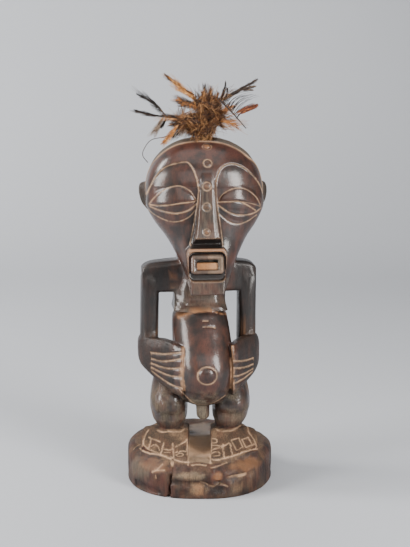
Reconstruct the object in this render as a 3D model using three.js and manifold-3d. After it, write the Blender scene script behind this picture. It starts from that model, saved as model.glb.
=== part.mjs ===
// A standing male figure with its hands on its belly, cut with its round base from one block of dark
// hardwood. A bundle of feathers stands in a shallow socket in the crown.
// Millimetres, +Z up, the front of the figure faces -Y, and +X is on the right of someone who looks at it.

import * as THREE from "three";
import { mergeVertices } from "three/addons/utils/BufferGeometryUtils.js";
import Module from "manifold-3d";

const wasm = await Module();
wasm.setup();

// Driving dimensions

const BASE_RADIUS = 73; // the round base at its widest
const BASE_TOP = 34.5; // height of the ground that the feet stand on
const BASE_TOP_RADIUS = 63; // where the rounded rim of the base starts
const TORSO_BOTTOM = 81;
const TORSO_TOP = 178;
const NECK_BOTTOM = 174.5;
const SHOULDER_TOP = 225.5;
const SHOULDER_BOTTOM = 191;
const HEAD_BOTTOM = 200;
const CHIN_BOTTOM = 197.3; // underside of the boxed chin
const HEAD_TOP = 342.5;
const TEMPLE_HEIGHT = 287; // where the head is widest
const TEMPLE_HALF_WIDTH = 57;
const UPPER_BODY_TURN = 6; // degrees that everything above the legs is turned, to the viewer's right
const UPPER_BODY_SHIFT = 2; // and shifted, to the viewer's right
const HEAD_SHIFT = 1.2; // how much further the head is shifted than the body
const CHEST_SHIFT = -2.8; // the neck and chest stand a little to the viewer's left of the belly
const LEG_TURN = 2;
const TOE_COUNT = 5;
const SOCKET_RADIUS = 10; // the hole in the crown that holds the feathers
const SOCKET_DEPTH = 7;
const PIECE_GAP = 0.3; // clearance between a feather and what it comes out of

// Small tools

const SIDES = [-1, 1]; // the viewer's left and right

function clamp01(t) {
  return Math.min(1, Math.max(0, t));
}

function mix(a, b, t) {
  return a + (b - a) * t;
}

// A smooth curve through a few [position, value] stops, given in rising order of position.
function along(stops) {
  const slope = (i) => {
    const a = stops[Math.max(0, i - 1)];
    const b = stops[Math.min(stops.length - 1, i + 1)];
    return (b[1] - a[1]) / (b[0] - a[0]);
  };
  return (at) => {
    const p = Math.min(stops[stops.length - 1][0], Math.max(stops[0][0], at));
    let i = 0;
    while (i < stops.length - 2 && p > stops[i + 1][0]) i++;
    const [p0, v0] = stops[i];
    const [p1, v1] = stops[i + 1];
    const h = p1 - p0;
    const t = (p - p0) / h;
    const rise = t * t * (3 - 2 * t);
    const leave = t * (1 - t) * (1 - t) * h * slope(i);
    const arrive = t * t * (t - 1) * h * slope(i + 1);
    return v0 + (v1 - v0) * rise + leave + arrive;
  };
}

// A geometry as a closed solid with its faces pointing out.
function solid(geometry) {
  const bare = geometry.clone();
  for (const name of Object.keys(bare.attributes)) if (name !== "position") bare.deleteAttribute(name);
  const merged = mergeVertices(bare, 1e-4);
  const kept = [];
  for (let i = 0; i < merged.index.count; i += 3) {
    const [a, b, c] = [0, 1, 2].map((k) => merged.index.getX(i + k));
    if (a !== b && b !== c && a !== c) kept.push(a, b, c);
  }
  const build = (triangles) =>
    new wasm.Manifold(
      new wasm.Mesh({
        numProp: 3,
        vertProperties: new Float32Array(merged.attributes.position.array),
        triVerts: new Uint32Array(triangles),
      }),
    );
  const made = build(kept);
  if (made.volume() > 0) return made;
  const turned = [];
  for (let i = 0; i < kept.length; i += 3) turned.push(kept[i], kept[i + 2], kept[i + 1]);
  return build(turned);
}

// A geometry whose vertices are each moved by place(x, y, z), as a solid.
function shaped(geometry, place) {
  const points = geometry.getAttribute("position");
  for (let i = 0; i < points.count; i++)
    points.setXYZ(i, ...place(points.getX(i), points.getY(i), points.getZ(i)));
  return solid(geometry);
}

// A closed skin: at(t, angle) gives the point on its side, with t from 0 at its bottom to 1 at its top.
function skin(columns, rows, at) {
  return shaped(new THREE.CylinderGeometry(1, 1, 1, columns, rows), (x, y, z) => {
    const t = clamp01(y + 0.5);
    if (Math.hypot(x, z) > 0.5) return at(t, Math.atan2(z, x));
    const [a, b] = [at(t, -Math.PI / 2), at(t, Math.PI / 2)];
    return a.map((v, i) => (v + b[i]) / 2);
  });
}

// A sine or cosine drawn towards 1, for a rounded-square section. power 2 is an ellipse, more is squarer.
function squared(v, power) {
  return Math.abs(v) < 1e-9 ? 0 : Math.sign(v) * Math.abs(v) ** (2 / power);
}

function section(angle, halfWidth, front, back, power) {
  const middle = (back - front) / 2;
  const halfDepth = (front + back) / 2;
  const x = halfWidth * squared(Math.cos(angle), power);
  return [x, middle + halfDepth * squared(Math.sin(angle), power)];
}

function join(...solids) {
  return solids.flat().reduce((all, next) => all.add(next));
}

// A mesh from a solid.
function meshOf(name, body, material) {
  const made = body.getMesh();
  const geometry = new THREE.BufferGeometry();
  geometry.setAttribute("position", new THREE.BufferAttribute(new Float32Array(made.vertProperties), 3));
  geometry.setIndex(new THREE.BufferAttribute(new Uint32Array(made.triVerts), 1));
  geometry.computeVertexNormals();
  const mesh = new THREE.Mesh(geometry, material);
  mesh.name = name;
  return mesh;
}

// A flat outline in x and z, pushed along y from `front` to `back`, with its x and z kept.
function slab(outline, front, back) {
  const depth = back - front;
  const geometry = new THREE.ExtrudeGeometry(outline, { depth, bevelEnabled: false, curveSegments: 5 });
  return shaped(geometry, (x, y, z) => [x, front + z, y]);
}

function roundedRectangle(halfWidth, low, high, radius) {
  const shape = new THREE.Shape();
  shape.absarc(halfWidth - radius, low + radius, radius, -Math.PI / 2, 0);
  shape.absarc(halfWidth - radius, high - radius, radius, 0, Math.PI / 2);
  shape.absarc(radius - halfWidth, high - radius, radius, Math.PI / 2, Math.PI);
  shape.absarc(radius - halfWidth, low + radius, radius, Math.PI, 1.5 * Math.PI);
  return shape;
}

// The head: a dome over a jaw that narrows to a small chin

const jawHalfWidth = along([
  [200, 17],
  [222, 26],
  [244, 37.2],
  [262, 49.7],
  [277, 57],
  [TEMPLE_HEIGHT, TEMPLE_HALF_WIDTH],
]);
const faceFront = along([
  [200, 52],
  [225, 46.5],
  [245, 42.5],
  [262, 42],
  [280, 43.5],
  [297, 45],
]);
const napeBack = along([
  [200, -10],
  [222, 12],
  [240, 36],
  [262, 49],
  [TEMPLE_HEIGHT, 52],
]);
// The jaw stands a little to the viewer's right of the nose.
const jawShift = along([
  [200, 2.2],
  [250, 2.1],
  [272, 1.2],
  [301, 0],
]);
const FOREHEAD_RADIUS = HEAD_TOP - 297; // the forehead is an arc in the side view
const FACE_POWER = 2.4;

function domeShare(z, power) {
  return (1 - clamp01((z - TEMPLE_HEIGHT) / (HEAD_TOP - TEMPLE_HEIGHT)) ** power) ** (1 / power);
}

function headHalfWidth(z) {
  return z < TEMPLE_HEIGHT ? jawHalfWidth(z) : TEMPLE_HALF_WIDTH * domeShare(z, 2.3);
}

function headFront(z) {
  if (z < 297) return faceFront(z);
  return Math.sqrt(Math.max(0, FOREHEAD_RADIUS ** 2 - (z - 297) ** 2));
}

function headBack(z) {
  return z < TEMPLE_HEIGHT ? napeBack(z) : 52 * domeShare(z, 2.1);
}

// Where the section is widest, front to back.
function headMiddle(z) {
  return z < TEMPLE_HEIGHT
    ? mix(-34, -10, clamp01((z - HEAD_BOTTOM) / 50))
    : -10 * domeShare(z, 2);
}

// The y of the face's own surface, before the nose, eyes and mouth are set on it.
function faceY(x, z) {
  const across = Math.abs(x - jawShift(z)) / headHalfWidth(z);
  const reach = Math.max(0, 1 - across ** FACE_POWER);
  return headMiddle(z) - (headFront(z) + headMiddle(z)) * reach ** (1 / FACE_POWER);
}

function skull() {
  const FRONT_CROWDING = 0.52; // more columns on the face than on the back
  const JAW_SHARE = 0.56; // share of the rows that the jaw takes
  return skin(38, 21, (t, turn) => {
    const angle = turn - FRONT_CROWDING * Math.cos(turn);
    const jaw = clamp01(t / JAW_SHARE);
    const dome = clamp01((t - JAW_SHARE) / (1 - JAW_SHARE));
    const overTemples = (HEAD_TOP - TEMPLE_HEIGHT) * Math.sin((dome * Math.PI) / 2);
    const z = mix(HEAD_BOTTOM, TEMPLE_HEIGHT, jaw) + overTemples;
    const x = jawShift(z) + headHalfWidth(z) * squared(Math.cos(angle), FACE_POWER);
    const reach = Math.abs(squared(Math.sin(angle), FACE_POWER));
    const middle = headMiddle(z);
    const surface = Math.sin(angle) < 0 ? -headFront(z) : headBack(z);
    return [x, middle + (surface - middle) * reach, z];
  });
}

// The hollow under each brow: an arch that drops straight beside the nose and falls away to the temple.
const BROW = { inner: 8.5, outer: 57, bottom: 262, depth: 2.6 };
const browHeight = along([
  [BROW.inner, 292],
  [9.6, 307],
  [14, 317.5],
  [23, 322],
  [38, 317],
  [48, 306.5],
  [BROW.outer, 284],
]);

function browDip(z) {
  return BROW.depth * clamp01((z - BROW.bottom) / 26);
}

function browHollow(side) {
  const columns = [0, 0.02, 0.07, 0.15, 0.28, 0.42, 0.57, 0.7, 0.82, 0.92, 1];
  return shaped(new THREE.BoxGeometry(1, 1, 1, columns.length - 1, 1, 5), (a, b, c) => {
    const across = mix(BROW.inner, BROW.outer, columns[Math.round((a + 0.5) * (columns.length - 1))]);
    const z = mix(BROW.bottom, browHeight(across), c + 0.5);
    const edge = headHalfWidth(z) + side * jawShift(z) - 2.5;
    const room = clamp01((edge - BROW.inner) / (BROW.outer - BROW.inner));
    const x = side * (BROW.inner + (across - BROW.inner) * room);
    return [x, b < 0 ? -80 : faceY(x, z) + browDip(z) * (1 - clamp01((across - 40) / 17) ** 2) - 0.1, z];
  });
}

const EYE = { above: 15.5, below: 11.5, bulge: 5 };
const EYE_SPAN = { [-1]: { x: 31, halfWidth: 22.5, droop: 0 }, [1]: { x: 32.5, halfWidth: 23, droop: 3 } };

// One almond-shaped lens laid on the face.
function lens(side, wider, above, below, bulge, sink) {
  const span = EYE_SPAN[side];
  return shaped(new THREE.SphereGeometry(1, 12, 6), (u, v, w) => {
    const narrow = 1 - 0.32 * u * u; // draws the corners to points
    const x = side * span.x + (span.halfWidth + wider) * u;
    const z = 283.5 + (v > 0 ? above : below) * v * narrow - span.droop * clamp01(u * side);
    return [x, faceY(x, z) + browDip(z) - bulge * w + sink, z];
  });
}

function eyes() {
  return SIDES.flatMap((side) => [
    lens(side, 1, EYE.above * 0.6, EYE.below + 7.5, 2.2, 0.6),
    lens(side, 0, EYE.above, EYE.below, EYE.bulge, 0.9),
  ]);
}

const NOSE = {
  top: 313,
  tip: 250.3,
  rootHalfWidth: 6.2,
  tipHalfWidth: 12.4,
  baseSpread: 4, // how much wider it is where it meets the face
  height: 11.5,
  underside: 11,
};

// The long nose: a flat front that widens downwards, and an underside cut back and down to the lip.
function nose() {
  return shaped(new THREE.BoxGeometry(1, 1, 1, 2, 1, 6), (u, v, w) => {
    const t = w + 0.5; // 0 at the tip
    const atFront = v < 0;
    const z = mix(NOSE.tip - (atFront ? 0 : NOSE.underside), NOSE.top, t);
    const spread = atFront ? 0 : NOSE.baseSpread * (1 - 0.6 * t);
    const halfWidth = mix(NOSE.tipHalfWidth, NOSE.rootHalfWidth, Math.sqrt(t)) + spread;
    const front = faceY(0, z) - NOSE.height * (1 - t) + 0.3 + Math.abs(u);
    return [2 * u * halfWidth, atFront ? front : faceY(0, z) + 7, z];
  });
}

const MUZZLE = {
  top: 246.5,
  lip: 241,
  bottom: CHIN_BOTTOM,
  frontTop: 54,
  frontBottom: 61,
  halfWidthTop: 20,
  halfWidthBottom: 16.4,
  shift: -1.3, // it stands a little to the viewer's left of the nose
};

function muzzleFront(z) {
  const t = clamp01((z - MUZZLE.bottom) / (MUZZLE.lip - MUZZLE.bottom));
  return -mix(MUZZLE.frontBottom, MUZZLE.frontTop, t);
}

// The boxy mouth and chin, with a rounded recess that the lips stand in.
function muzzle() {
  const profile = new THREE.Shape();
  profile.moveTo(-34, MUZZLE.top);
  profile.lineTo(muzzleFront(MUZZLE.lip), MUZZLE.lip);
  profile.lineTo(muzzleFront(MUZZLE.bottom) + 0.5, MUZZLE.bottom + 2.5);
  profile.lineTo(muzzleFront(MUZZLE.bottom) + 3, MUZZLE.bottom);
  profile.lineTo(-26, MUZZLE.bottom + 3);
  profile.closePath();
  const EDGE = 1.4;
  const geometry = new THREE.ExtrudeGeometry(profile, {
    depth: 2,
    bevelEnabled: true,
    bevelThickness: EDGE / MUZZLE.halfWidthTop,
    bevelSize: EDGE,
    bevelOffset: -EDGE,
    bevelSegments: 1,
  });
  const block = shaped(geometry, (y, z, across) => {
    const t = clamp01((z - MUZZLE.bottom) / (MUZZLE.top - MUZZLE.bottom));
    return [(across - 1) * mix(MUZZLE.halfWidthBottom, MUZZLE.halfWidthTop, t), y, z];
  });
  const leaning = (outline, out, depth) => {
    const cutter = new THREE.ExtrudeGeometry(outline, { depth, bevelEnabled: false, curveSegments: 3 });
    return shaped(cutter, (x, z, d) => [x, muzzleFront(z) - out + d, z]);
  };
  const recess = leaning(roundedRectangle(17.4, 211.5, 237.6, 6), 10, 14.5);
  const lips = leaning(roundedRectangle(16, 217.2, 235.6, 4), 0.8, 8);
  const opening = leaning(roundedRectangle(10.8, 221.6, 231.8, 1), 10, 15.5);
  const tongue = leaning(roundedRectangle(9.8, 222.2, 229.4, 0.6), -1.6, 7);
  const made = block.subtract(recess).add(lips).subtract(opening).add(tongue);
  return made.translate([MUZZLE.shift, 0, 0]);
}

// A thin ear behind the widest part of the face: square at its top, and drawn in to nothing below.
function ear(side) {
  const EAR = { low: 270, high: 299, out: side < 0 ? 5.8 : 7, buried: 6, thickness: 5, y: 1 };
  const fullness = [[0, 0.45], [0.25, 0.72], [0.5, 0.93], [0.7, 1], [0.9, 0.95], [0.98, 0.8], [1, 0.6]];
  const outline = new THREE.Shape();
  outline.moveTo(0, EAR.low);
  for (const [t, share] of fullness) outline.lineTo((EAR.out + EAR.buried) * share, mix(EAR.low, EAR.high, t));
  outline.lineTo(0, EAR.high);
  outline.closePath();
  const options = { depth: EAR.thickness, bevelEnabled: false };
  return shaped(new THREE.ExtrudeGeometry(outline, options), (x, z, d) => {
    const out = headHalfWidth(z) - EAR.buried + x;
    return [jawShift(z) + side * out, EAR.y + d + 0.35 * x, z];
  });
}

// Neck, shoulders, arms and hands

// The neck, eight-sided, flares to a rim that stands over the top of the belly.
function neck() {
  const levels = [NECK_BOTTOM, 178.5, 183, 189, 200, 216, 246];
  const halfWidth = along([[NECK_BOTTOM, 26.6], [183, 25], [193, 25.4], [204, 23], [250, 20]]);
  const front = along([[NECK_BOTTOM, 27], [183, 21.5], [200, 19], [250, 16]]);
  const corner = along([[NECK_BOTTOM, 4], [183, 9], [192, 10.4], [250, 10]]); // width of the slanted front facets
  const BACK = 20;
  return skin(8, levels.length - 1, (t, angle) => {
    const z = levels[Math.round(t * (levels.length - 1))];
    const [w, f, c] = [halfWidth(z), front(z), corner(z)];
    const corners = [
      [w, 0.8 * c - f],
      [w, BACK - 5],
      [w - 5, BACK],
      [5 - w, BACK],
      [-w, BACK - 5],
      [-w, 0.8 * c - f],
      [c - w, -f],
      [w - c, -f],
    ];
    return [...corners[(Math.round((4 * angle) / Math.PI) + 8) % 8], z];
  }).translate([CHEST_SHIFT, 0, 0]);
}

const ARM = { leftOuter: 60.5, rightOuter: 54, width: 18.2, front: 14, back: 14 };

function armOuter(side, z) {
  const outer = side < 0 ? ARM.leftOuter : ARM.rightOuter;
  return outer + (side < 0 ? 1.2 : 0) * clamp01((205 - z) / 60);
}

// The shoulders: a square-cut yoke whose top slopes down to rounded corners.
function yoke() {
  return skin(12, 10, (t, angle) => {
    const across = 2 * t - 1;
    const side = Math.sign(across) || 1;
    const outer = side < 0 ? ARM.leftOuter - 1 : ARM.rightOuter - 1;
    const x = across * outer;
    const cornerDrop = 5 * Math.abs(across) ** 14;
    const top = SHOULDER_TOP - 5 * Math.abs(across) - cornerDrop;
    const z = mix(SHOULDER_BOTTOM, top, 0.5 + 0.5 * squared(Math.sin(angle), 6));
    const depth = mix(ARM.front + 1, ARM.front - 1.5, Math.abs(across));
    return [x, depth * squared(Math.cos(angle), 6), z];
  });
}

function upperArm(side) {
  return skin(12, 4, (t, angle) => {
    const z = mix(122, 206, t);
    const [x, y] = section(angle, ARM.width / 2, ARM.front, ARM.back, 3.4);
    return [side * (armOuter(side, z) - ARM.width / 2) + x, y + 1.5 * (1 - t), z];
  });
}

// Where the cuts between the fingers start near the wrist and end at the tips, as shares of the hand.
const FINGER_CUTS = {
  [-1]: [[0.15, 0.19], [0.25, 0.42], [0.35, 0.6], [0.46, 0.79], [0.63, 0.91]],
  [1]: [[0.12, 0.26], [0.19, 0.41], [0.3, 0.58], [0.45, 0.72]],
};
const HAND = { thickness: 13, cutWidth: 0.022, cutDepth: 1.5 };

// Forearm and hand in one fan: from the elbow, round the side of the belly, to the finger tips.
// u runs from the elbow to the tips, and w from the little finger's side to the thumb's side.
function hand(side) {
  const left = side < 0;
  const outer = (left ? ARM.leftOuter : ARM.rightOuter) + (left ? 1 : 1.8);
  const tips = left ? 23.2 : 25.8;
  const xAt = along([[0, outer], [0.16, outer - 0.6], [0.5, 41], [0.78, 31.5], [1, tips]]);
  const yAt = along([[0, 13], [0.16, -8], [0.5, -27], [0.78, -38], [1, -45]]);
  const bottom = along([[0, left ? 121 : 116], [0.16, left ? 117 : 111], [0.5, 101], [0.8, 95.5], [1, 94]]);
  const top = along([[0, 145], [0.3, 147], [0.7, 146], [1, 143.5]]);
  const cuts = FINGER_CUTS[side];
  const rowCount = 3 * cuts.length + 2;
  const share = (row, u) => {
    if (row === 0) return 0;
    if (row >= rowCount - 1) return row === rowCount ? 1 : 0.94;
    const [wrist, tip] = cuts[Math.floor((row - 1) / 3)];
    const offset = ((row - 1) % 3) - 1;
    return mix(wrist, tip, clamp01((u - 0.3) / 0.7)) + offset * HAND.cutWidth;
  };
  const columns = [0, 0.16, 0.33, 0.37, 0.68, 1];
  return shaped(new THREE.BoxGeometry(1, 1, 1, columns.length - 1, 1, rowCount), (a, v, b) => {
    const u = columns[Math.round((a + 0.5) * (columns.length - 1))];
    const row = Math.round((b + 0.5) * rowCount);
    const w = share(row, u);
    const inCut = row > 0 && row < rowCount - 1 && (row - 1) % 3 === 1 && u > 0.34;
    const swell = 3.5 * (1 - (2 * w - 1) ** 4) - 1;
    const outwards = v < 0 ? swell - (inCut ? HAND.cutDepth : 0) : -HAND.thickness;
    const facing = mix(0.1, 0.8, clamp01(u * 1.2)); // 0 faces sideways, 1 faces forwards
    const x = xAt(u) + outwards * (1 - facing);
    return [side * x, yAt(u) - outwards * facing, mix(bottom(u), top(u), w)];
  });
}

// The belly, a barrel that swells forward and is drawn in under the neck

function torso() {
  const halfWidth = along([
    [TORSO_BOTTOM, 14],
    [86, 24],
    [98, 30],
    [120, 31],
    [143, 29],
    [165, 27.4],
    [172, 24.5],
    [TORSO_TOP, 12],
  ]);
  const front = along([
    [TORSO_BOTTOM, 33],
    [87, 45],
    [98, 53],
    [115, 57.5],
    [132, 53.5],
    [150, 43.5],
    [168, 33],
    [174, 28.5],
    [TORSO_TOP, 18],
  ]);
  const back = along([
    [TORSO_BOTTOM, 24],
    [89, 32],
    [99, 35],
    [112, 31],
    [126, 22],
    [150, 18.5],
    [TORSO_TOP, 19.5],
  ]);
  const fromEnd = (t) => 1.6 * t * t + 0.2 * t; // crowds the rows towards the top and bottom
  return skin(24, 11, (t, angle) => {
    const z = mix(TORSO_BOTTOM, TORSO_TOP, t < 0.5 ? fromEnd(t) : 1 - fromEnd(1 - t));
    const [x, y] = section(angle, halfWidth(z), front(z), back(z), 2.3);
    return [x + CHEST_SHIFT * clamp01((z - 124) / 42), y, z];
  });
}

// The navel: a low round boss on the front of the belly.
function navel() {
  const boss = new THREE.SphereGeometry(1, 12, 6);
  return shaped(boss, (u, v, w) => [8.4 * u, -55.2 - 4.2 * w, 118.5 + 7.8 * v]);
}

function member() {
  const radius = along([[0, 4.4], [0.05, 5.9], [0.2, 6.6], [1, 6.6]]);
  return skin(8, 5, (t, angle) => [
    -1.6 + radius(t ** 2) * Math.cos(angle),
    mix(-31, -25, t) + radius(t ** 2) * Math.sin(angle),
    mix(68, 96, t ** 2),
  ]);
}

// Legs, feet and base

// Short bent legs: the knee hangs over a narrower shin.
function leg(side) {
  const halfWidth = along([
    [34, 14],
    [57, 13.4],
    [61, 15.3],
    [66, 17.4],
    [73, 18.5],
    [76, 18.7],
    [85, 18.6],
    [94, 17.4],
    [108, 14],
  ]);
  const front = along([
    [34, 28],
    [57, 31],
    [66, 34],
    [73, 33.6],
    [76, 36.4],
    [84, 37.4],
    [93, 34],
    [108, 22],
  ]);
  const back = along([
    [34, 22],
    [55, 23],
    [76, 20],
    [92, 25],
    [101, 24],
    [108, 14],
  ]);
  const stops = [30, 57, 61, 66, 73, 75.5, 80, 86, 93, 108];
  const drift = side < 0 ? 1.2 : 2.4; // how far the shin stands inwards of the knee
  return skin(14, stops.length - 1, (t, angle) => {
    const z = stops[Math.round(t * (stops.length - 1))];
    const [x, y] = section(angle, halfWidth(z), front(z), back(z), 2.5);
    return [side * (31.2 - drift * clamp01((76 - z) / 18)) + x, y, z];
  });
}

// A foot that slopes from the instep down to a row of square toes along the rim of the base.
const FOOT = {
  inner: 11.2,
  outer: 57.5,
  heelOuter: 48,
  toe: -61.5,
  heel: 30,
  length: 92,
  toeLength: 17,
  cutDepth: 1.1,
  outerFall: { [-1]: 5.5, [1]: 7.5 }, // how far each foot falls away on its outer side
};
const footTop = along([
  [0, 0.6],
  [6, 4.6],
  [12, 8.8],
  [28, 22.5],
  [40, 21],
  [FOOT.length, 11],
]);

function foot(side) {
  const columnsPerToe = [0.07, 0.93];
  const shares = [0];
  for (let toe = 0; toe < TOE_COUNT; toe++) {
    for (const inToe of columnsPerToe) shares.push((toe + inToe) / TOE_COUNT);
    if (toe < TOE_COUNT - 1) shares.push((toe + 1) / TOE_COUNT);
  }
  shares.push(1);
  const lengths = [0, 1.2, FOOT.toeLength - 1.6, FOOT.toeLength, FOOT.toeLength + 1.6, 29, FOOT.length];
  const counts = [shares.length - 1, lengths.length - 1];
  return shaped(new THREE.BoxGeometry(1, 1, 1, counts[0], counts[1], 1), (a, b, c) => {
    const column = Math.round((a + 0.5) * counts[0]);
    const row = Math.round((b + 0.5) * counts[1]);
    const across = shares[column];
    const back = lengths[row]; // how far behind the toe edge
    const toeEdge = FOOT.toe + 20 * across ** 1.8;
    const y = mix(toeEdge, FOOT.heel, back / FOOT.length);
    const outer = mix(FOOT.outer, FOOT.heelOuter, clamp01((back - 20) / 50));
    const x = side * mix(FOOT.inner, outer, across);
    if (c < 0) return [x, y, BASE_TOP - 6];
    const inside = column > 0 && column < counts[0];
    const betweenToes = inside && column % 3 === 0 && row > 0 && row < 3;
    const behindToes = inside && row === 3;
    const outerFall = FOOT.outerFall[side] * across ** 5;
    const sideFall = (outerFall + 3 * (1 - across) ** 12) * clamp01((back - 8) / 20);
    const cut = betweenToes || behindToes ? FOOT.cutDepth : 0;
    return [x, y, BASE_TOP + footTop(back) + 2.2 * across * across - sideFall - cut];
  });
}

// The thick round base with a flat underside. Its rim is worn away to a wide slope at the front.
function base() {
  const rim = [
    { front: [BASE_RADIUS - 1.2, 0], back: [BASE_RADIUS - 1.2, 0] },
    { front: [BASE_RADIUS - 0.3, 2.5], back: [BASE_RADIUS - 0.3, 2.5] },
    { front: [BASE_RADIUS, 12], back: [BASE_RADIUS, 14] },
    { front: [BASE_RADIUS - 0.7, 23], back: [BASE_RADIUS, 30] },
    { front: [BASE_RADIUS - 4.5, 28.6], back: [BASE_RADIUS - 1.6, 34] },
    { front: [BASE_TOP_RADIUS, 33.2], back: [BASE_RADIUS - 4.5, BASE_TOP + 1.6] },
    { front: [BASE_TOP_RADIUS - 9, BASE_TOP], back: [BASE_RADIUS - 12, BASE_TOP + 2] },
  ];
  const last = rim.length + 1;
  const profile = rim.map((_, i) => new THREE.Vector2(1, i + 1));
  profile.unshift(new THREE.Vector2(0, 0));
  profile.push(new THREE.Vector2(0, last));
  return shaped(new THREE.LatheGeometry(profile, 40), (u, row, v) => {
    if (Math.hypot(u, v) < 0.5) return [0, 0, row === 0 ? 0 : BASE_TOP];
    const angle = Math.atan2(v, u);
    const { front, back } = rim[Math.round(row) - 1];
    const wornBack = 0.5 * Math.max(0, Math.cos(angle - Math.PI / 4.5)) ** 4;
    const behind = clamp01(1 + 1.25 * Math.sin(angle)) - wornBack;
    const frontCorners = 0.06 * clamp01(-Math.sin(angle)) * Math.abs(Math.sin(2 * angle)) ** 1.5;
    const wave = 0.004 * Math.sin(2 * angle) + 0.004 * Math.sin(4 * angle);
    const radius = mix(front[0], back[0], behind) * (1 + frontCorners + wave);
    return [radius * Math.cos(angle), radius * Math.sin(angle), mix(front[1], back[1], behind)];
  });
}

// The drying split at the front of the base, on the viewer's left.
function split() {
  const outline = new THREE.Shape();
  outline.moveTo(-1.5, -1);
  outline.lineTo(1.2, -1);
  outline.lineTo(0.9, 14);
  outline.lineTo(2.4, 24);
  outline.lineTo(0.2, 33);
  outline.lineTo(-1.6, 24);
  outline.lineTo(-0.8, 10);
  outline.closePath();
  return slab(outline, -90, -60).translate([-30.5, 0, 0]);
}

// The slice that has flaked off the rim at the front.
function flakedRim() {
  const outline = new THREE.Shape();
  outline.moveTo(-31, 22);
  outline.lineTo(-29, 15.5);
  outline.lineTo(2, 13.5);
  outline.lineTo(19, 10);
  outline.lineTo(13, 21);
  outline.closePath();
  return slab(outline, -90, -69.4);
}

function head() {
  const bare = skull().subtract(join(SIDES.map(browHollow)));
  return join(bare, eyes(), nose(), muzzle(), SIDES.map(ear)).translate([HEAD_SHIFT, 0, 0]);
}

function carvedFigure() {
  const body = join(torso(), navel(), neck(), yoke(), SIDES.map(upperArm), SIDES.map(hand), member());
  const upper = join(head(), body).rotate([0, 0, UPPER_BODY_TURN]).translate([UPPER_BODY_SHIFT, 0, 0]);
  const legs = join(SIDES.map(leg)).rotate([0, 0, LEG_TURN]);
  const ground = join(base(), SIDES.map(foot)).subtract(join(split(), flakedRim()));
  return join(upper, legs, ground).subtract(socket());
}

// Feathers

const CROWN = new THREE.Vector3(5, -3, HEAD_TOP); // the middle of the socket's mouth

function socket() {
  const hole = new THREE.CylinderGeometry(SOCKET_RADIUS, SOCKET_RADIUS, 40, 14);
  const floor = HEAD_TOP - SOCKET_DEPTH;
  return shaped(hole, (x, y, z) => [x + CROWN.x, z + CROWN.y, y + 20 + floor]);
}

// The matted bundle of down and small feathers, with its foot in the socket.
const LUMPS = [
  { at: [1.5, -4, 349], size: [16, 13, 7] },
  { at: [-7, -5, 359], size: [18, 13, 8.5] },
  { at: [8.5, -2, 373.5], size: [15.5, 13, 11] },
  { at: [12, 0, 360], size: [15, 12, 8] },
];

function bundle(figure, grow = 0) {
  const stalk = skin(14, 1, (t, angle) => {
    const radius = SOCKET_RADIUS - 1 + grow;
    return [
      CROWN.x + radius * Math.cos(angle),
      CROWN.y + radius * Math.sin(angle),
      mix(HEAD_TOP - SOCKET_DEPTH + 0.4, HEAD_TOP + 4, t),
    ];
  });
  const lumps = LUMPS.map(({ at, size }, n) =>
    shaped(new THREE.SphereGeometry(1, 8, 5), (x, y, z) => {
      const rough = 1 + 0.12 * Math.sin(5 * x + 3 * n) * Math.cos(4 * y + n);
      return [x, z, y].map((v, i) => at[i] + (size[i] + grow) * v * rough);
    }),
  );
  const TUFTS = 5;
  const tufts = Array.from({ length: TUFTS }, (_, n) => {
    const turn = (n / TUFTS) * 2 * Math.PI + 0.4;
    const rise = 0.15 + (0.7 * ((n * 4) % 5)) / 4;
    const from = new THREE.Vector3(3, -3, n % 2 ? 360 : 372);
    const level = Math.cos(rise);
    const to = new THREE.Vector3(Math.cos(turn) * level, 0.8 * Math.sin(turn) * level, Math.sin(rise));
    to.multiplyScalar(23 + 4 * ((n * 3) % 4)).add(from);
    return vane({ from, to, width: 8 + 2 * grow, thickness: 4 + 2 * grow, bow: 1.5, blunt: true, rows: 2 });
  });
  return join(lumps, tufts).subtract(figure).add(stalk);
}

// A feather as a thin blade along a bowed line, widest in its middle third.
function vane({ from, to, width, thickness = 1.2, bow = 3, blunt = false, rows = 3 }) {
  const run = new THREE.Vector3().subVectors(to, from);
  const axis = run.clone().normalize();
  const across = new THREE.Vector3(0, 1, 0).cross(axis).normalize();
  const normal = new THREE.Vector3().crossVectors(axis, across);
  return skin(4, rows, (t, angle) => {
    const pointed = 0.12 + 0.88 * Math.sin(Math.PI * (0.08 + 0.86 * t)) ** 0.8;
    const swell = blunt ? 1 - 0.9 * t : pointed;
    const point = from.clone().addScaledVector(run, t);
    point.addScaledVector(across, (width / 2) * swell * Math.cos(angle) + bow * Math.sin(Math.PI * t));
    point.addScaledVector(normal, (thickness / 2) * (1.1 - 0.6 * t) * Math.sin(angle));
    return point.toArray();
  });
}

// A single long hair.
function hair(points, radius) {
  const path = new THREE.CatmullRomCurve3(points.map((p) => new THREE.Vector3(...p)));
  const ring = new THREE.Shape();
  ring.moveTo(radius, 0);
  for (const share of [0.2, 0.4, 0.6, 0.8]) {
    const turn = share * 2 * Math.PI;
    ring.lineTo(radius * Math.cos(turn), radius * Math.sin(turn));
  }
  return solid(new THREE.ExtrudeGeometry(ring, { steps: 9, extrudePath: path }));
}

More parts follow.
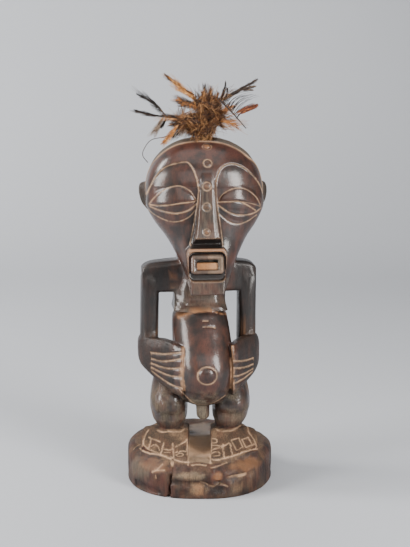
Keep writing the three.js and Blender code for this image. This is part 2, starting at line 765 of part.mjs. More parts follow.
const FEATHERS = [
  {
    name: "feather_black_left",
    finish: "dark",
    blades: [
      { from: [-15, -5, 361], to: [-36, -7, 363.4], width: 2.6, bow: 0.3 },
      { from: [-33, -7, 363], to: [-59, -9, 383], width: 5, bow: -2.2 },
      { from: [-33, -7, 363], to: [-61, -8, 369], width: 4.5, bow: -1 },
      { from: [-34, -7, 363.4], to: [-43.5, -6, 352.5], width: 5.5, bow: 0.5 },
    ],
  },
  {
    name: "feather_tan_top_left",
    blades: [{ from: [-3, -3, 380], to: [-34, -6, 404], width: 7.5, bow: 1 }],
  },
  {
    name: "feather_brown_top_left",
    blades: [{ from: [-4, -9, 374], to: [-19, -13, 379], width: 6, bow: 1 }],
  },
  {
    name: "feather_dark_top",
    finish: "dark",
    blades: [{ from: [8, -4, 379], to: [5, -5, 393], width: 3.4, bow: 0.4 }],
  },
  {
    name: "feather_dark_top_right",
    finish: "dark",
    blades: [{ from: [18, 0, 376], to: [25, -2, 394], width: 3, bow: -0.5 }],
  },
  {
    name: "feather_grey_right",
    finish: "dark",
    blades: [
      { from: [19, 2, 376], to: [40, 4, 389], width: 5, bow: -0.5 },
      { from: [34, 3.5, 385.5], to: [55.5, 6, 397.5], width: 4.5, bow: -0.6 },
      { from: [34, 3.5, 385.5], to: [54, 5, 390.5], width: 4, bow: 0.6 },
    ],
  },
  {
    name: "feather_barbed_right",
    finish: "dark",
    blades: [{ from: [20, -9, 372], to: [50, -13, 383.5], width: 8, bow: 1.5 }],
  },
  {
    name: "feather_rust_right",
    finish: "rust",
    blades: [{ from: [20, -3, 358], to: [55, -7, 374], width: 6.5, bow: 1 }],
  },
  {
    name: "quill_right",
    finish: "dark",
    blades: [{ from: [20, -15, 377], to: [44.5, -20, 352], width: 2, thickness: 2, bow: 0.5 }],
  },
  {
    name: "feather_tan_low_left",
    blades: [{ from: [-14, -18, 356], to: [-35.5, -30, 339], width: 6.5, bow: 1.5 }],
  },
  {
    name: "feather_barred_low_left",
    finish: "dark",
    blades: [{ from: [-11, 5, 352], to: [-27, 12, 342.5], width: 7, bow: 0.6 }],
  },
  {
    name: "feather_tan_low_right",
    blades: [{ from: [20, -8, 358], to: [36, -13, 354], width: 7, bow: 1 }],
  },
  {
    name: "feather_brown_back",
    blades: [{ from: [3, 8, 366], to: [-8, 32, 379], width: 8, bow: 2 }],
  },
  {
    name: "feather_brown_back_right",
    blades: [{ from: [12, 8, 362], to: [29, 27, 371], width: 8, bow: -2 }],
  },
];
const HAIR = [
  [-12, -12, 352],
  [-30, -15, 348],
  [-46, -21, 339.4],
  [-53, -24, 330.6],
  [-50.5, -23, 321.5],
];
const HAIR_RADIUS = 0.45;

const matte = { roughness: 0.8, metalness: 0 };
const FINISHES = {
  brown: new THREE.MeshStandardMaterial({ color: 0x6b4426, ...matte }),
  dark: new THREE.MeshStandardMaterial({ color: 0x2a2320, ...matte }),
  rust: new THREE.MeshStandardMaterial({ color: 0x8a4a24, ...matte }),
};
const wood = new THREE.MeshStandardMaterial({ color: 0x3d2a22, roughness: 0.42, metalness: 0 });

const figure = carvedFigure();
const lifted = figure.translate([0, 0, PIECE_GAP + 0.2]);
const taken = join(lifted, bundle(lifted, PIECE_GAP));

// A feather without what it would share with the bundle and the figure.
function free(shape) {
  return shape.subtract(taken).decompose().sort((a, b) => b.volume() - a.volume())[0];
}

const group = new THREE.Group();
group.add(meshOf("carved_figure", figure, wood));
group.add(meshOf("feather_bundle", bundle(lifted), FINISHES.brown));
for (const { name, finish = "brown", blades } of FEATHERS) {
  const placed = blades.map(({ from, to, ...form }) =>
    vane({ from: new THREE.Vector3(...from), to: new THREE.Vector3(...to), ...form }),
  );
  group.add(meshOf(name, free(join(placed)), FINISHES[finish]));
}
group.add(meshOf("loose_hair_left", free(hair(HAIR, HAIR_RADIUS)), FINISHES.dark));

export default group;
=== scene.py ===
"""Dresses a carved ancestor figure, its round base and the tuft of feathers in its crown.

The figure and its base are one piece of dark hardwood: overlapping closed forms are fused into one skin, and
the lines, studs, tool marks and damage are then cut into it. The feathers are shafts with separate barbs.
Forms are worked out in millimetres and scaled to metres when they are finished. +Z is up, the front of the
figure faces -Y, and left and right are the viewer's.
"""

import logging
import math
from dataclasses import dataclass, field
from enum import Enum
from typing import Callable, Iterable

import bmesh
import bpy
import numpy as np
from mathutils import Matrix, Vector


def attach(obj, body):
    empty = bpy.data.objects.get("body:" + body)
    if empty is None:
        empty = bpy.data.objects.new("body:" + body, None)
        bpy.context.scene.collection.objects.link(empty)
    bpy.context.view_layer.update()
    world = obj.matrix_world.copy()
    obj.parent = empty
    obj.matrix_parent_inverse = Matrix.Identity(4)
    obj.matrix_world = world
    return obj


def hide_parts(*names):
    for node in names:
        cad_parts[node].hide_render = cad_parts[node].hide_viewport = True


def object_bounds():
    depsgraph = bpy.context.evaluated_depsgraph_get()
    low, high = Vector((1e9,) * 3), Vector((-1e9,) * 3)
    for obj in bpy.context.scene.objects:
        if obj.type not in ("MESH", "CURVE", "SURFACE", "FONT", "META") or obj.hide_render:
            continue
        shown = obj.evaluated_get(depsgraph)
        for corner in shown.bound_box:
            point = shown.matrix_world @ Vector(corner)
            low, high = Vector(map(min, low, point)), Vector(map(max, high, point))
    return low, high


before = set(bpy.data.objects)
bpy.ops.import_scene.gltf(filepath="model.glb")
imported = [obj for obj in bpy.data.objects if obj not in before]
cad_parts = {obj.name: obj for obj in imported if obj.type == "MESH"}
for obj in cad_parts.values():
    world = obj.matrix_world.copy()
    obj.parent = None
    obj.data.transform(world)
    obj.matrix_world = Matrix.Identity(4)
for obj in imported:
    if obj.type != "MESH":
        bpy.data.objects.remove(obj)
CAD_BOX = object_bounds()

log = logging.getLogger("figure")

Array = np.ndarray
Curve = Callable[[Array], Array]
Place = Callable[[Array], Array]
Point = tuple[float, float, float]
Colour = tuple[float, float, float, float]
Socket = bpy.types.NodeSocket

MM = 0.001  # metres in a millimetre
BODY = "root"
SIDES = (-1, 1)  # the viewer's left and right

# Driving dimensions, in millimetres
BASE_RADIUS = 73.0
BASE_TOP = 34.5
BASE_TOP_RADIUS = 63.0
TORSO_BOTTOM = 81.0
TORSO_TOP = 178.0
NECK_BOTTOM = 174.5
NECK_TOP = 246.0
SHOULDER_TOP = 225.5
SHOULDER_BOTTOM = 191.0
HEAD_BOTTOM = 200.0
CHIN_BOTTOM = 197.3
HEAD_TOP = 342.5
TEMPLE_HEIGHT = 287.0
TEMPLE_HALF_WIDTH = 57.0
UPPER_BODY_TURN = math.radians(6)
UPPER_BODY_SHIFT = 2.0
HEAD_SHIFT = 1.2
CHEST_SHIFT = -2.8
LEG_TURN = math.radians(2)
TOE_COUNT = 5
SOCKET_RADIUS = 10.0
SOCKET_DEPTH = 7.0

VOXEL = 0.62  # the cell of the fused skin
SKIN_TRIANGLES = 190_000


# Curves, sections and noise


def clamp(value: Array) -> Array:
    """Holds a value between 0 and 1."""
    return np.clip(value, 0.0, 1.0)


def mix(a: Array, b: Array, t: Array) -> Array:
    """Goes from a to b as t goes from 0 to 1."""
    return a + (b - a) * t


def ramp(value: Array, low: float, high: float) -> Array:
    """Rises smoothly from 0 at low to 1 at high."""
    t = clamp((value - low) / (high - low))
    return t * t * (3 - 2 * t)


def ridge(distance: Array, width: float) -> Array:
    """A soft bump of the given width, 1 at distance 0."""
    return np.exp(-((distance / (0.5 * width)) ** 2))


def curve_through(*stops: tuple[float, float]) -> Curve:
    """Makes a smooth curve through a few stops.

    Args:
        stops: (position, value) pairs in rising order of position.

    Returns:
        A function from positions to values.
    """
    places, values = np.array(stops, float).T
    index = np.arange(len(stops))
    before, after = np.maximum(index - 1, 0), np.minimum(index + 1, len(stops) - 1)
    slopes = (values[after] - values[before]) / (places[after] - places[before])

    def at(position: Array) -> Array:
        """The curve's value at each position."""
        p = np.clip(position, places[0], places[-1])
        i = np.clip(np.searchsorted(places, p) - 1, 0, len(places) - 2)
        h = places[i + 1] - places[i]
        t = (p - places[i]) / h
        rise = t * t * (3 - 2 * t)
        leave = t * (1 - t) ** 2 * h * slopes[i]
        arrive = t * t * (t - 1) * h * slopes[i + 1]
        return mix(values[i], values[i + 1], rise) + leave + arrive

    return at


def squared(value: Array, power: float) -> Array:
    """Draws a sine or cosine towards 1, for a rounded-square section."""
    return np.sign(value) * np.abs(value) ** (2 / power)


def section(angle: Array, half_width: Array, front: Array, back: Array, power: float) -> tuple[Array, Array]:
    """The x and y of a rounded-square section with its own front and back depths."""
    x = half_width * squared(np.cos(angle), power)
    return x, (back - front) / 2 + (front + back) / 2 * squared(np.sin(angle), power)


def unit(way: Array) -> Array:
    """A way with a length of 1."""
    return way / np.linalg.norm(way)


def points_of(x: Array, y: Array, z: Array) -> Array:
    """Puts x, y and z side by side, as one row per point."""
    return np.stack(np.broadcast_arrays(x, y, z), axis=-1).astype(float)


def noise(points: Array, size: float | Point, seed: int = 0) -> Array:
    """Smooth noise between -1 and 1.

    Args:
        points: One row per point, in millimetres.
        size: The size of its blotches, or their size along x, y and z.
        seed: Which noise.

    Returns:
        A value for each point.
    """
    at = points / np.asarray(size, float) + seed * 17.31
    cell = np.floor(at).astype(np.int64)
    inside = at - cell
    ease = inside * inside * (3 - 2 * inside)
    total = np.zeros(len(at))
    for corner in np.ndindex(2, 2, 2):
        near = cell + corner
        mixed = near[:, 0] * 73856093 ^ near[:, 1] * 19349663 ^ near[:, 2] * 83492791
        mixed = (mixed ^ (mixed >> 13)) * 1274126177
        level = ((mixed ^ (mixed >> 16)) & 0xFFFF) / 32767.5 - 1
        weight = np.where(corner, ease, 1 - ease).prod(axis=1)
        total += level * weight
    return total


def cloud(points: Array, size: float | Point, seed: int = 0) -> Array:
    """Noise in three sizes laid over each other, between about -1 and 1."""
    size = np.asarray(size, float)
    fine = 0.5 * noise(points, size / 2.1, seed + 1)
    finest = 0.25 * noise(points, size / 4.3, seed + 2)
    return (noise(points, size, seed) + fine + finest) / 1.4


def turned(points: Array, angle: float) -> Array:
    """Points turned about the upright axis."""
    c, s = math.cos(angle), math.sin(angle)
    return points_of(c * points[:, 0] - s * points[:, 1], s * points[:, 0] + c * points[:, 1], points[:, 2])


def on_upper_body(points: Array) -> Array:
    """Points of the body above the legs, put in their place."""
    return turned(points, UPPER_BODY_TURN) + (UPPER_BODY_SHIFT, 0, 0)


def on_head(points: Array) -> Array:
    """Points of the head, put in their place."""
    return on_upper_body(points + (HEAD_SHIFT, 0, 0))


def on_legs(points: Array) -> Array:
    """Points of the legs, put in their place."""
    return turned(points, LEG_TURN)


def from_upper_body(points: Array) -> Array:
    """The opposite of on_upper_body."""
    return turned(points - (UPPER_BODY_SHIFT, 0, 0), -UPPER_BODY_TURN)


def from_head(points: Array) -> Array:
    """The opposite of on_head."""
    return from_upper_body(points) - (HEAD_SHIFT, 0, 0)


def rounded_path(path: Iterable[tuple[float, ...]]) -> Array:
    """A path that goes through a few points in a curve."""
    knots = np.array(list(path), float)
    fine = np.linspace(0, len(knots) - 1, 8 * len(knots))
    return np.stack([curve_through(*enumerate(column))(fine) for column in knots.T], axis=-1)


def distance_to_path(points: Array, path: Iterable[tuple[float, ...]]) -> Array:
    """How far each point is from a path.

    Args:
        points: One row per point, with as many columns as the path's points.
        path: The points that the path goes straight between.

    Returns:
        The distances, in millimetres.
    """
    knots = np.array(list(path), float)
    nearest = np.full(len(points), 1e9)
    for a, b in zip(knots[:-1], knots[1:]):
        run = b - a
        t = clamp(((points - a) @ run) / max(run @ run, 1e-9))
        nearest = np.minimum(nearest, np.linalg.norm(points - a - t[:, None] * run, axis=1))
    return nearest


# The wood before it is carved


def coordinates(mesh: bpy.types.Mesh) -> Array:
    """The vertices of a mesh, one row each."""
    flat = np.empty(len(mesh.vertices) * 3, np.float32)
    mesh.vertices.foreach_get("co", flat)
    return flat.reshape(-1, 3).astype(float)


def set_coordinates(mesh: bpy.types.Mesh, points: Array) -> None:
    """Moves the vertices of a mesh."""
    mesh.vertices.foreach_set("co", points.astype(np.float32).ravel())
    mesh.update()


def shown(name: str, data: bpy.types.ID) -> bpy.types.Object:
    """Makes an object of some data and puts it in the scene."""
    made = bpy.data.objects.new(name, data)
    bpy.context.scene.collection.objects.link(made)
    return made


def evaluated(piece: bpy.types.Object) -> bpy.types.Mesh:
    """A new mesh of what a piece's curves or modifiers make, with the piece's name."""
    bpy.context.view_layer.update()
    mesh = bpy.data.meshes.new_from_object(piece.evaluated_get(bpy.context.evaluated_depsgraph_get()))
    mesh.name = piece.name
    return mesh


def settle(piece: bpy.types.Object) -> None:
    """Bakes the modifiers of a piece into its mesh."""
    mesh, old = evaluated(piece), piece.data
    piece.modifiers.clear()
    piece.data = mesh
    bpy.data.meshes.remove(old)


def keep(mesh: bpy.types.Mesh, name: str, values: Array) -> None:
    """Keeps a value for each vertex as an attribute of a mesh."""
    mesh.attributes.new(name, "FLOAT", "POINT").data.foreach_set("value", values.astype(np.float32))


class Stock:
    """Closed forms in millimetres that overlap, waiting to be fused into one skin."""

    def __init__(self) -> None:
        """Starts with no forms."""
        self.forms = bmesh.new()

    def _add(self, form: bmesh.types.BMesh, move: Callable[[Array], Array]) -> None:
        """Moves the vertices of a form and lays it with the others."""
        mesh = bpy.data.meshes.new("form")
        form.to_mesh(mesh)
        form.free()
        set_coordinates(mesh, move(coordinates(mesh)))
        self.forms.from_mesh(mesh)
        bpy.data.meshes.remove(mesh)

    def add_skin(self, columns: int, rows: int, at: Callable[[Array, Array], Array], place: Place) -> None:
        """Adds a closed skin round an upright axis.

        Args:
            columns: How many faces it has around.
            rows: How many rings of faces it has, with its two caps.
            at: The points at a share of the height, 0 at the bottom, and an angle.
            place: Puts the points where the form belongs.
        """
        form = bmesh.new()
        bmesh.ops.create_uvsphere(form, u_segments=columns, v_segments=rows, radius=1)

        def move(ball: Array) -> Array:
            """Wraps the ball's rings round the form."""
            ring = np.rint(np.arccos(np.clip(ball[:, 2], -1, 1)) / math.pi * rows)
            share = clamp((rows - 1 - ring) / (rows - 2))
            moved = at(share, np.arctan2(ball[:, 1], ball[:, 0]))
            quarter = np.full(len(ball), math.pi / 2)
            middle = (at(share, -quarter) + at(share, quarter)) / 2
            pole = (ring == 0) | (ring == rows)
            moved[pole] = middle[pole]
            return place(moved)

        self._add(form, move)

    def add_block(self, cuts: int, at: Callable[[Array, Array, Array], Array], place: Place) -> None:
        """Adds a form made from a block.

        Args:
            cuts: How many times each edge of the block is cut.
            at: The points for a, b and c, each from -0.5 to 0.5.
            place: Puts the points where the form belongs.
        """
        form = bmesh.new()
        bmesh.ops.create_cube(form, size=1)
        bmesh.ops.subdivide_edges(form, edges=form.edges[:], cuts=cuts, use_grid_fill=True)
        self._add(form, lambda cube: place(at(cube[:, 0], cube[:, 1], cube[:, 2])))

    def add_ball(self, at: Callable[[Array, Array, Array], Array], place: Place) -> None:
        """Adds a form made from a ball of radius 1.

        Args:
            at: The points for the ball's x, y and z.
            place: Puts the points where the form belongs.
        """
        form = bmesh.new()
        bmesh.ops.create_uvsphere(form, u_segments=64, v_segments=48, radius=1)
        self._add(form, lambda ball: place(at(ball[:, 0], ball[:, 1], ball[:, 2])))

    def fuse(self, name: str) -> bpy.types.Object:
        """Fuses the forms into one closed skin.

        Args:
            name: The name of the new object.

        Returns:
            The object, still in millimetres.
        """
        mesh = bpy.data.meshes.new(name)
        self.forms.to_mesh(mesh)
        self.forms.free()
        piece = shown(name, mesh)
        remesh = piece.modifiers.new("One skin", "REMESH")
        remesh.mode = "VOXEL"
        remesh.voxel_size = VOXEL
        ease = piece.modifiers.new("Ease", "SMOOTH")
        ease.factor = 0.5
        ease.iterations = 2
        settle(piece)
        return piece


@dataclass
class Head:
    """The head: a dome over a jaw that narrows to a small chin, with the brow hollows and eyes."""

    jaw: Curve = curve_through((200, 17), (222, 26), (244, 37.2), (262, 49.7), (277, 57),
                               (287, TEMPLE_HALF_WIDTH))
    lean: Curve = curve_through((200, 2.2), (250, 2.1), (272, 1.2), (301, 0))
    face: Curve = curve_through((200, 52), (225, 46.5), (245, 42.5), (262, 42), (280, 43.5), (297, 45))
    nape: Curve = curve_through((200, -10), (222, 12), (240, 36), (262, 49), (287, 52))
    forehead_centre: float = 297.0
    power: float = 2.4
    jaw_share: float = 0.56
    crowding: float = 0.52
    brow_depth: float = 2.6
    brow_bottom: float = 262.0
    eye_height: float = 283.5

    def dome(self, z: Array, power: float) -> Array:
        """How much of the temples' width is left at a height in the dome."""
        rise = clamp((z - TEMPLE_HEIGHT) / (HEAD_TOP - TEMPLE_HEIGHT))
        return (1 - rise**power) ** (1 / power)

    def half_width(self, z: Array) -> Array:
        """Half the width of the head at a height."""
        return np.where(z < TEMPLE_HEIGHT, self.jaw(z), TEMPLE_HALF_WIDTH * self.dome(z, 2.3))

    def front(self, z: Array) -> Array:
        """How far the face stands in front of the middle at a height."""
        radius = HEAD_TOP - self.forehead_centre
        arc = np.sqrt(np.maximum(0, radius**2 - (z - self.forehead_centre) ** 2))
        return np.where(z < self.forehead_centre, self.face(z), arc)

    def back(self, z: Array) -> Array:
        """How far the back of the head stands behind the middle at a height."""
        return np.where(z < TEMPLE_HEIGHT, self.nape(z), 52 * self.dome(z, 2.1))

    def middle(self, z: Array) -> Array:
        """The y where the head is widest at a height."""
        low = mix(-34, -10, clamp((z - HEAD_BOTTOM) / 50))
        return np.where(z < TEMPLE_HEIGHT, low, -10 * self.dome(z, 2))

    def face_y(self, x: Array, z: Array) -> Array:
        """The y of the bare face, before the hollows and the eyes."""
        across = np.abs(x - self.lean(z)) / np.maximum(self.half_width(z), 1)
        reach = np.maximum(0, 1 - across**self.power)
        return self.middle(z) - (self.front(z) + self.middle(z)) * reach ** (1 / self.power)

    def brow_dip(self, z: Array) -> Array:
        """How deep the brow hollows are at a height."""
        return self.brow_depth * clamp((z - self.brow_bottom) / 26)

    def hollow(self, x: Array, z: Array) -> Array:
        """How far each point of the face lies back in a brow hollow."""
        depth = np.zeros_like(x)
        for side, arch, inner in (
            (-1, FaceLines.LEFT_ARCH, FaceLines.LEFT_NOSE),
            (1, FaceLines.RIGHT_ARCH, FaceLines.RIGHT_NOSE),
        ):
            across = side * x
            height = curve_through(*arch)(across)
            beside_nose = curve_through(*inner)(z)
            below_arch = ramp(height - z, -0.5, 0.7)
            outside_nose = ramp(across - beside_nose, -0.5, 0.7)
            fade = 1 - clamp((across - 40) / 17) ** 2
            depth += self.brow_dip(z) * fade * below_arch * outside_nose
        return depth

    def eye(self, x: Array, z: Array, side: int, slit: Curve) -> Array:
        """How far each point of the face stands out in an eye: a round lid over a lower lid and a rim."""
        centre, half_width, droop = (31.0, 22.5, 0.0) if side < 0 else (32.5, 23.0, 3.0)
        u = (side * x - centre) / half_width
        rise = z - self.eye_height + droop * clamp(u)
        narrow = np.maximum(0.05, 1 - 0.32 * u * u)
        inner = np.where(rise > 0, rise / 15.5, rise / 11.5) / narrow
        outer = np.where(rise > 0, rise / 9.3, rise / 19.0) / narrow
        inner_bulge = np.sqrt(np.maximum(0, 1 - u * u - inner * inner))
        outer_bulge = np.sqrt(np.maximum(0, 1 - (u * 0.957) ** 2 - outer * outer))
        above_slit = z - slit(x)
        roll = clamp(above_slit / 2.4)
        lid = 2.0 * np.sqrt(roll * (2 - roll)) * (1 - 0.65 * ramp(above_slit, 3, 13))
        stands = np.maximum((3.6 + lid) * inner_bulge - 0.9, 2.4 * outer_bulge - 0.6)
        return np.maximum(0, stands)

    def surface(self, share: Array, turn: Array) -> Array:
        """The points of the skull with its hollows, eyes and socket."""
        angle = turn - self.crowding * np.cos(turn)
        jaw = clamp(share / self.jaw_share)
        dome = clamp((share - self.jaw_share) / (1 - self.jaw_share))
        z = mix(HEAD_BOTTOM, TEMPLE_HEIGHT, jaw) + (HEAD_TOP - TEMPLE_HEIGHT) * np.sin(dome * math.pi / 2)
        x = self.lean(z) + self.half_width(z) * squared(np.cos(angle), self.power)
        reach = np.abs(squared(np.sin(angle), self.power))
        middle = self.middle(z)
        in_front = np.sin(angle) < 0
        edge = np.where(in_front, -self.front(z), self.back(z))
        y = middle + (edge - middle) * reach
        back = self.hollow(x, z)
        for side, slit in ((-1, FaceLines.LEFT_SLIT), (1, FaceLines.RIGHT_SLIT)):
            back = back - self.eye(x, z, side, curve_through(*slit))
        y = y + np.where(in_front, back, 0) * ramp(reach, 0.1, 0.5)
        seat = np.hypot(x - 2.3, y + 3) < SOCKET_RADIUS
        z = np.where(seat & (z > TEMPLE_HEIGHT), np.minimum(z, HEAD_TOP - SOCKET_DEPTH), z)
        return points_of(x, y, z)

    def ear(self, side: int) -> Callable[[Array, Array, Array], Array]:
        """A thin ear behind the widest part of the face: square at its top, drawn in to nothing below."""
        fullness = curve_through((0, 0.45), (0.25, 0.72), (0.5, 0.93), (0.7, 1), (0.9, 0.95), (0.98, 0.8),
                                 (1, 0.6))
        buried = 6.0
        reach = buried + (5.8 if side < 0 else 7.0)

        def at(a: Array, b: Array, c: Array) -> Array:
            """The ear's points."""
            z = mix(270.0, 299.0, c + 0.5)
            out = reach * fullness(c + 0.5) * (a + 0.5)
            y = 1 + 5 * (b + 0.5) + 0.35 * out
            return points_of(self.lean(z) + side * (self.half_width(z) - buried + out), y, z)

        return at

    def add_to(self, stock: Stock) -> None:
        """Adds the skull and the ears."""
        stock.add_skin(300, 300, self.surface, on_head)
        for side in SIDES:
            stock.add_block(24, self.ear(side), on_head)


class FaceLines:
    """Where the carved lines of the face run, as (x, z) in the head's own frame unless a comment says so."""

    # Height of each brow's arch at a distance from the centre line
    LEFT_ARCH = ((7.2, 285), (8.4, 294.7), (10.6, 307.5), (14.9, 317.3), (21.3, 321.2), (38.2, 316.4),
                 (48.5, 305.8), (57, 288))
    RIGHT_ARCH = ((6.8, 288), (8.2, 303), (11.3, 312.8), (17.4, 318.1), (27.3, 318.9), (38.7, 313),
                  (50.3, 300.9), (57, 285))
    # Distance of each side of the nose from the centre line at a height
    LEFT_NOSE = ((242, 16.5), (261, 13.1), (281, 9.7), (294, 8), (308, 6.5), (322, 6))
    RIGHT_NOSE = ((242, 14.8), (261, 12.7), (280, 9.3), (303, 7.4), (322, 6))
    LEFT_SLIT = ((-52.5, 279.8), (-38.8, 280.8), (-25.9, 282.9), (-11.5, 284.6))
    RIGHT_SLIT = ((10.5, 283.9), (29.7, 284.2), (41, 281.9), (53.5, 277.4))


@dataclass
class Nose:
    """The long nose: a flat front with bevelled edges, and an underside cut back down to the lip."""

    top: float = 313.0
    tip: float = 250.3
    root_half_width: float = 6.2
    tip_half_width: float = 12.4
    base_spread: float = 4.0
    height: float = 11.5
    underside: float = 11.0
    head: Head = field(default_factory=Head)

    def at(self, a: Array, b: Array, c: Array) -> Array:
        """The nose's points. b runs from the front to inside the face."""
        t, into = c + 0.5, b + 0.5
        z = mix(self.tip - self.underside * into, self.top, t)
        half_width = mix(self.tip_half_width, self.root_half_width, np.sqrt(t))
        x = 2 * a * (half_width + self.base_spread * (1 - 0.6 * t) * into)
        bevel = 1.9 * clamp((2 * a - 0.56) / 0.44) + 1.0 * clamp((-2 * a - 0.84) / 0.16)
        front = self.head.face_y(0 * x, z) - self.height * (1 - t) + 0.3 + bevel * (1 - 0.5 * t)
        return points_of(x, mix(front, self.head.face_y(0 * x, z) + 7, into), z)

    def add_to(self, stock: Stock) -> None:
        """Adds the nose."""
        stock.add_block(60, self.at, on_head)


def rounded_box(x: Array, z: Array, half_width: float, low: float, high: float, radius: float) -> Array:
    """How far points lie outside a rounded rectangle. It is negative inside."""
    dx = np.abs(x) - half_width + radius
    dz = np.abs(z - (low + high) / 2) - (high - low) / 2 + radius
    outside = np.hypot(np.maximum(dx, 0), np.maximum(dz, 0))
    return outside + np.minimum(np.maximum(dx, dz), 0) - radius


@dataclass
class Muzzle:
    """The boxed mouth and chin, with a rounded recess that the lips stand in."""

    top: float = 246.5
    lip: float = 241.0
    front_top: float = 54.0
    front_bottom: float = 61.0
    half_width_top: float = 20.0
    half_width_bottom: float = 15.9
    recess_depth: float = 4.5
    opening_depth: float = 5.5
    shift: float = -1.3

    def recess(self, x: Array, z: Array) -> Array:
        """How far points lie outside the recess that the lips stand in."""
        return rounded_box(x, z, 17.4, 210.4, 237.8, 6)

    def lips(self, x: Array, z: Array) -> Array:
        """How far points lie outside the lips."""
        return rounded_box(x, z, 16, 216.9, 235.6, 4)

    def front(self, z: Array) -> Array:
        """The y of its bare front at a height."""
        rise = clamp((z - CHIN_BOTTOM) / (self.lip - CHIN_BOTTOM))
        leaning = -mix(self.front_bottom, self.front_top, rise)
        over = mix(leaning, -34, clamp((z - self.lip) / (self.top - self.lip)))
        return over + 1.6 * clamp((CHIN_BOTTOM + 1.6 - z) / 1.6)

    def depth(self, x: Array, z: Array) -> Array:
        """How far the front is cut back at each place. It is negative where the lips stand out."""
        recess = ramp(-self.recess(x, z), -0.35, 0.55)
        inner = -self.lips(x, z)
        lips = ramp(inner, -0.35, 0.55)
        opening = ramp(-rounded_box(x, z, 10.0, 221.4, 230.6, 1), -0.3, 0.4)
        tongue = ramp(-rounded_box(x, z, 9.6, 221.6, 227.8, 0.6), -0.3, 0.4)
        crown = 1.5 * ramp(inner, -0.2, 2.8) - 1.1 * ramp(inner, 2.6, 5.6)
        deep = mix(self.recess_depth, -0.2 - crown, lips) * recess
        deep = mix(deep, self.opening_depth, opening)
        return mix(deep, 2.0, tongue)

    def at(self, a: Array, b: Array, c: Array) -> Array:
        """The muzzle's points. b runs from the front to inside the jaw."""
        z = mix(CHIN_BOTTOM, self.top, c + 0.5)
        half_width = mix(self.half_width_bottom, self.half_width_top, c + 0.5)
        half_width = half_width - 4.5 * ramp(z, 233.5, 243) ** 2
        edge = 1.3 * ramp(np.abs(2 * a), 0.93, 1) ** 2
        x = 2 * a * half_width
        front = self.front(z) + self.depth(x, z) + edge
        z = z + 3 * clamp(b + 0.5) * clamp(1 - 8 * (c + 0.5))
        return points_of(x + self.shift, mix(front, -26, b + 0.5), z)

    def add_to(self, stock: Stock) -> None:
        """Adds the muzzle."""
        stock.add_block(84, self.at, on_head)


@dataclass
class NeckAndArms:
    """The flaring neck, the square-cut shoulders, and the arms."""

    neck_half_width: Curve = curve_through((174.5, 26.6), (183, 25), (193, 25.4), (204, 23), (250, 20))
    neck_front: Curve = curve_through((174.5, 27), (183, 21.5), (200, 19), (250, 16))
    neck_facet: Curve = curve_through((174.5, 4), (183, 9), (192, 10.4), (250, 10))
    neck_back: float = 20.0
    edge_sharpness: float = 40.0
    left_outer: float = 60.5
    right_outer: float = 54.0
    arm_width: float = 18.2
    arm_depth: float = 14.0

    def neck(self, share: Array, angle: Array) -> Array:
        """The neck's points. It has eight flat sides, and its rim stands over the top of the belly."""
        z = mix(NECK_BOTTOM, NECK_TOP, share**1.3)
        half, front, facet = self.neck_half_width(z), self.neck_front(z), self.neck_facet(z)
        slant, diagonal = np.hypot(1, 0.8), 0.5**0.5
        c, s = np.cos(angle), np.sin(angle)
        reach = 0
        for nx, ny, away in (
            (1, 0, half),
            (-1, 0, half),
            (0, -1, front),
            (0, 1, self.neck_back),
            (0.8 / slant, -1 / slant, (0.8 * (half - facet) + front) / slant),
            (-0.8 / slant, -1 / slant, (0.8 * (half - facet) + front) / slant),
            (diagonal, diagonal, (half + self.neck_back - 5) * diagonal),
            (-diagonal, diagonal, (half + self.neck_back - 5) * diagonal),
        ):
            facing = np.maximum(nx * c + ny * s, 0.001)
            reach = reach + facing**self.edge_sharpness / away**self.edge_sharpness
        reach = reach ** (-1 / self.edge_sharpness)
        return points_of(reach * c + CHEST_SHIFT, reach * s, z)

    def outer(self, side: int, z: Array) -> Array:
        """How far out the outside of an arm is at a height."""
        if side < 0:
            return self.left_outer + 1.2 * clamp((205 - z) / 60)
        return self.right_outer + 0 * z

    def yoke(self, share: Array, angle: Array) -> Array:
        """The shoulders' points, from one arm to the other."""
        across = 2 * share - 1
        outer = np.where(across < 0, self.left_outer - 1, self.right_outer - 1)
        top = SHOULDER_TOP - 5 * np.abs(across) - 5 * np.abs(across) ** 14
        z = mix(SHOULDER_BOTTOM, top, 0.5 + 0.5 * squared(np.sin(angle), 6))
        depth = mix(self.arm_depth + 1, self.arm_depth - 1.5, np.abs(across))
        return points_of(across * outer, depth * squared(np.cos(angle), 6), z)

    def arm(self, side: int) -> Callable[[Array, Array], Array]:
        """An upper arm, square with rounded edges."""

        def at(share: Array, angle: Array) -> Array:
            """The arm's points."""
            z = mix(122, 206, share)
            x, y = section(angle, self.arm_width / 2, self.arm_depth, self.arm_depth, 3.4)
            return points_of(side * (self.outer(side, z) - self.arm_width / 2) + x, y + 1.5 * (1 - share), z)

        return at

    def add_to(self, stock: Stock) -> None:
        """Adds the neck, the shoulders and the arms."""
        stock.add_skin(200, 60, self.neck, on_upper_body)
        stock.add_skin(96, 90, self.yoke, on_upper_body)
        for side in SIDES:
            stock.add_skin(80, 60, self.arm(side), on_upper_body)


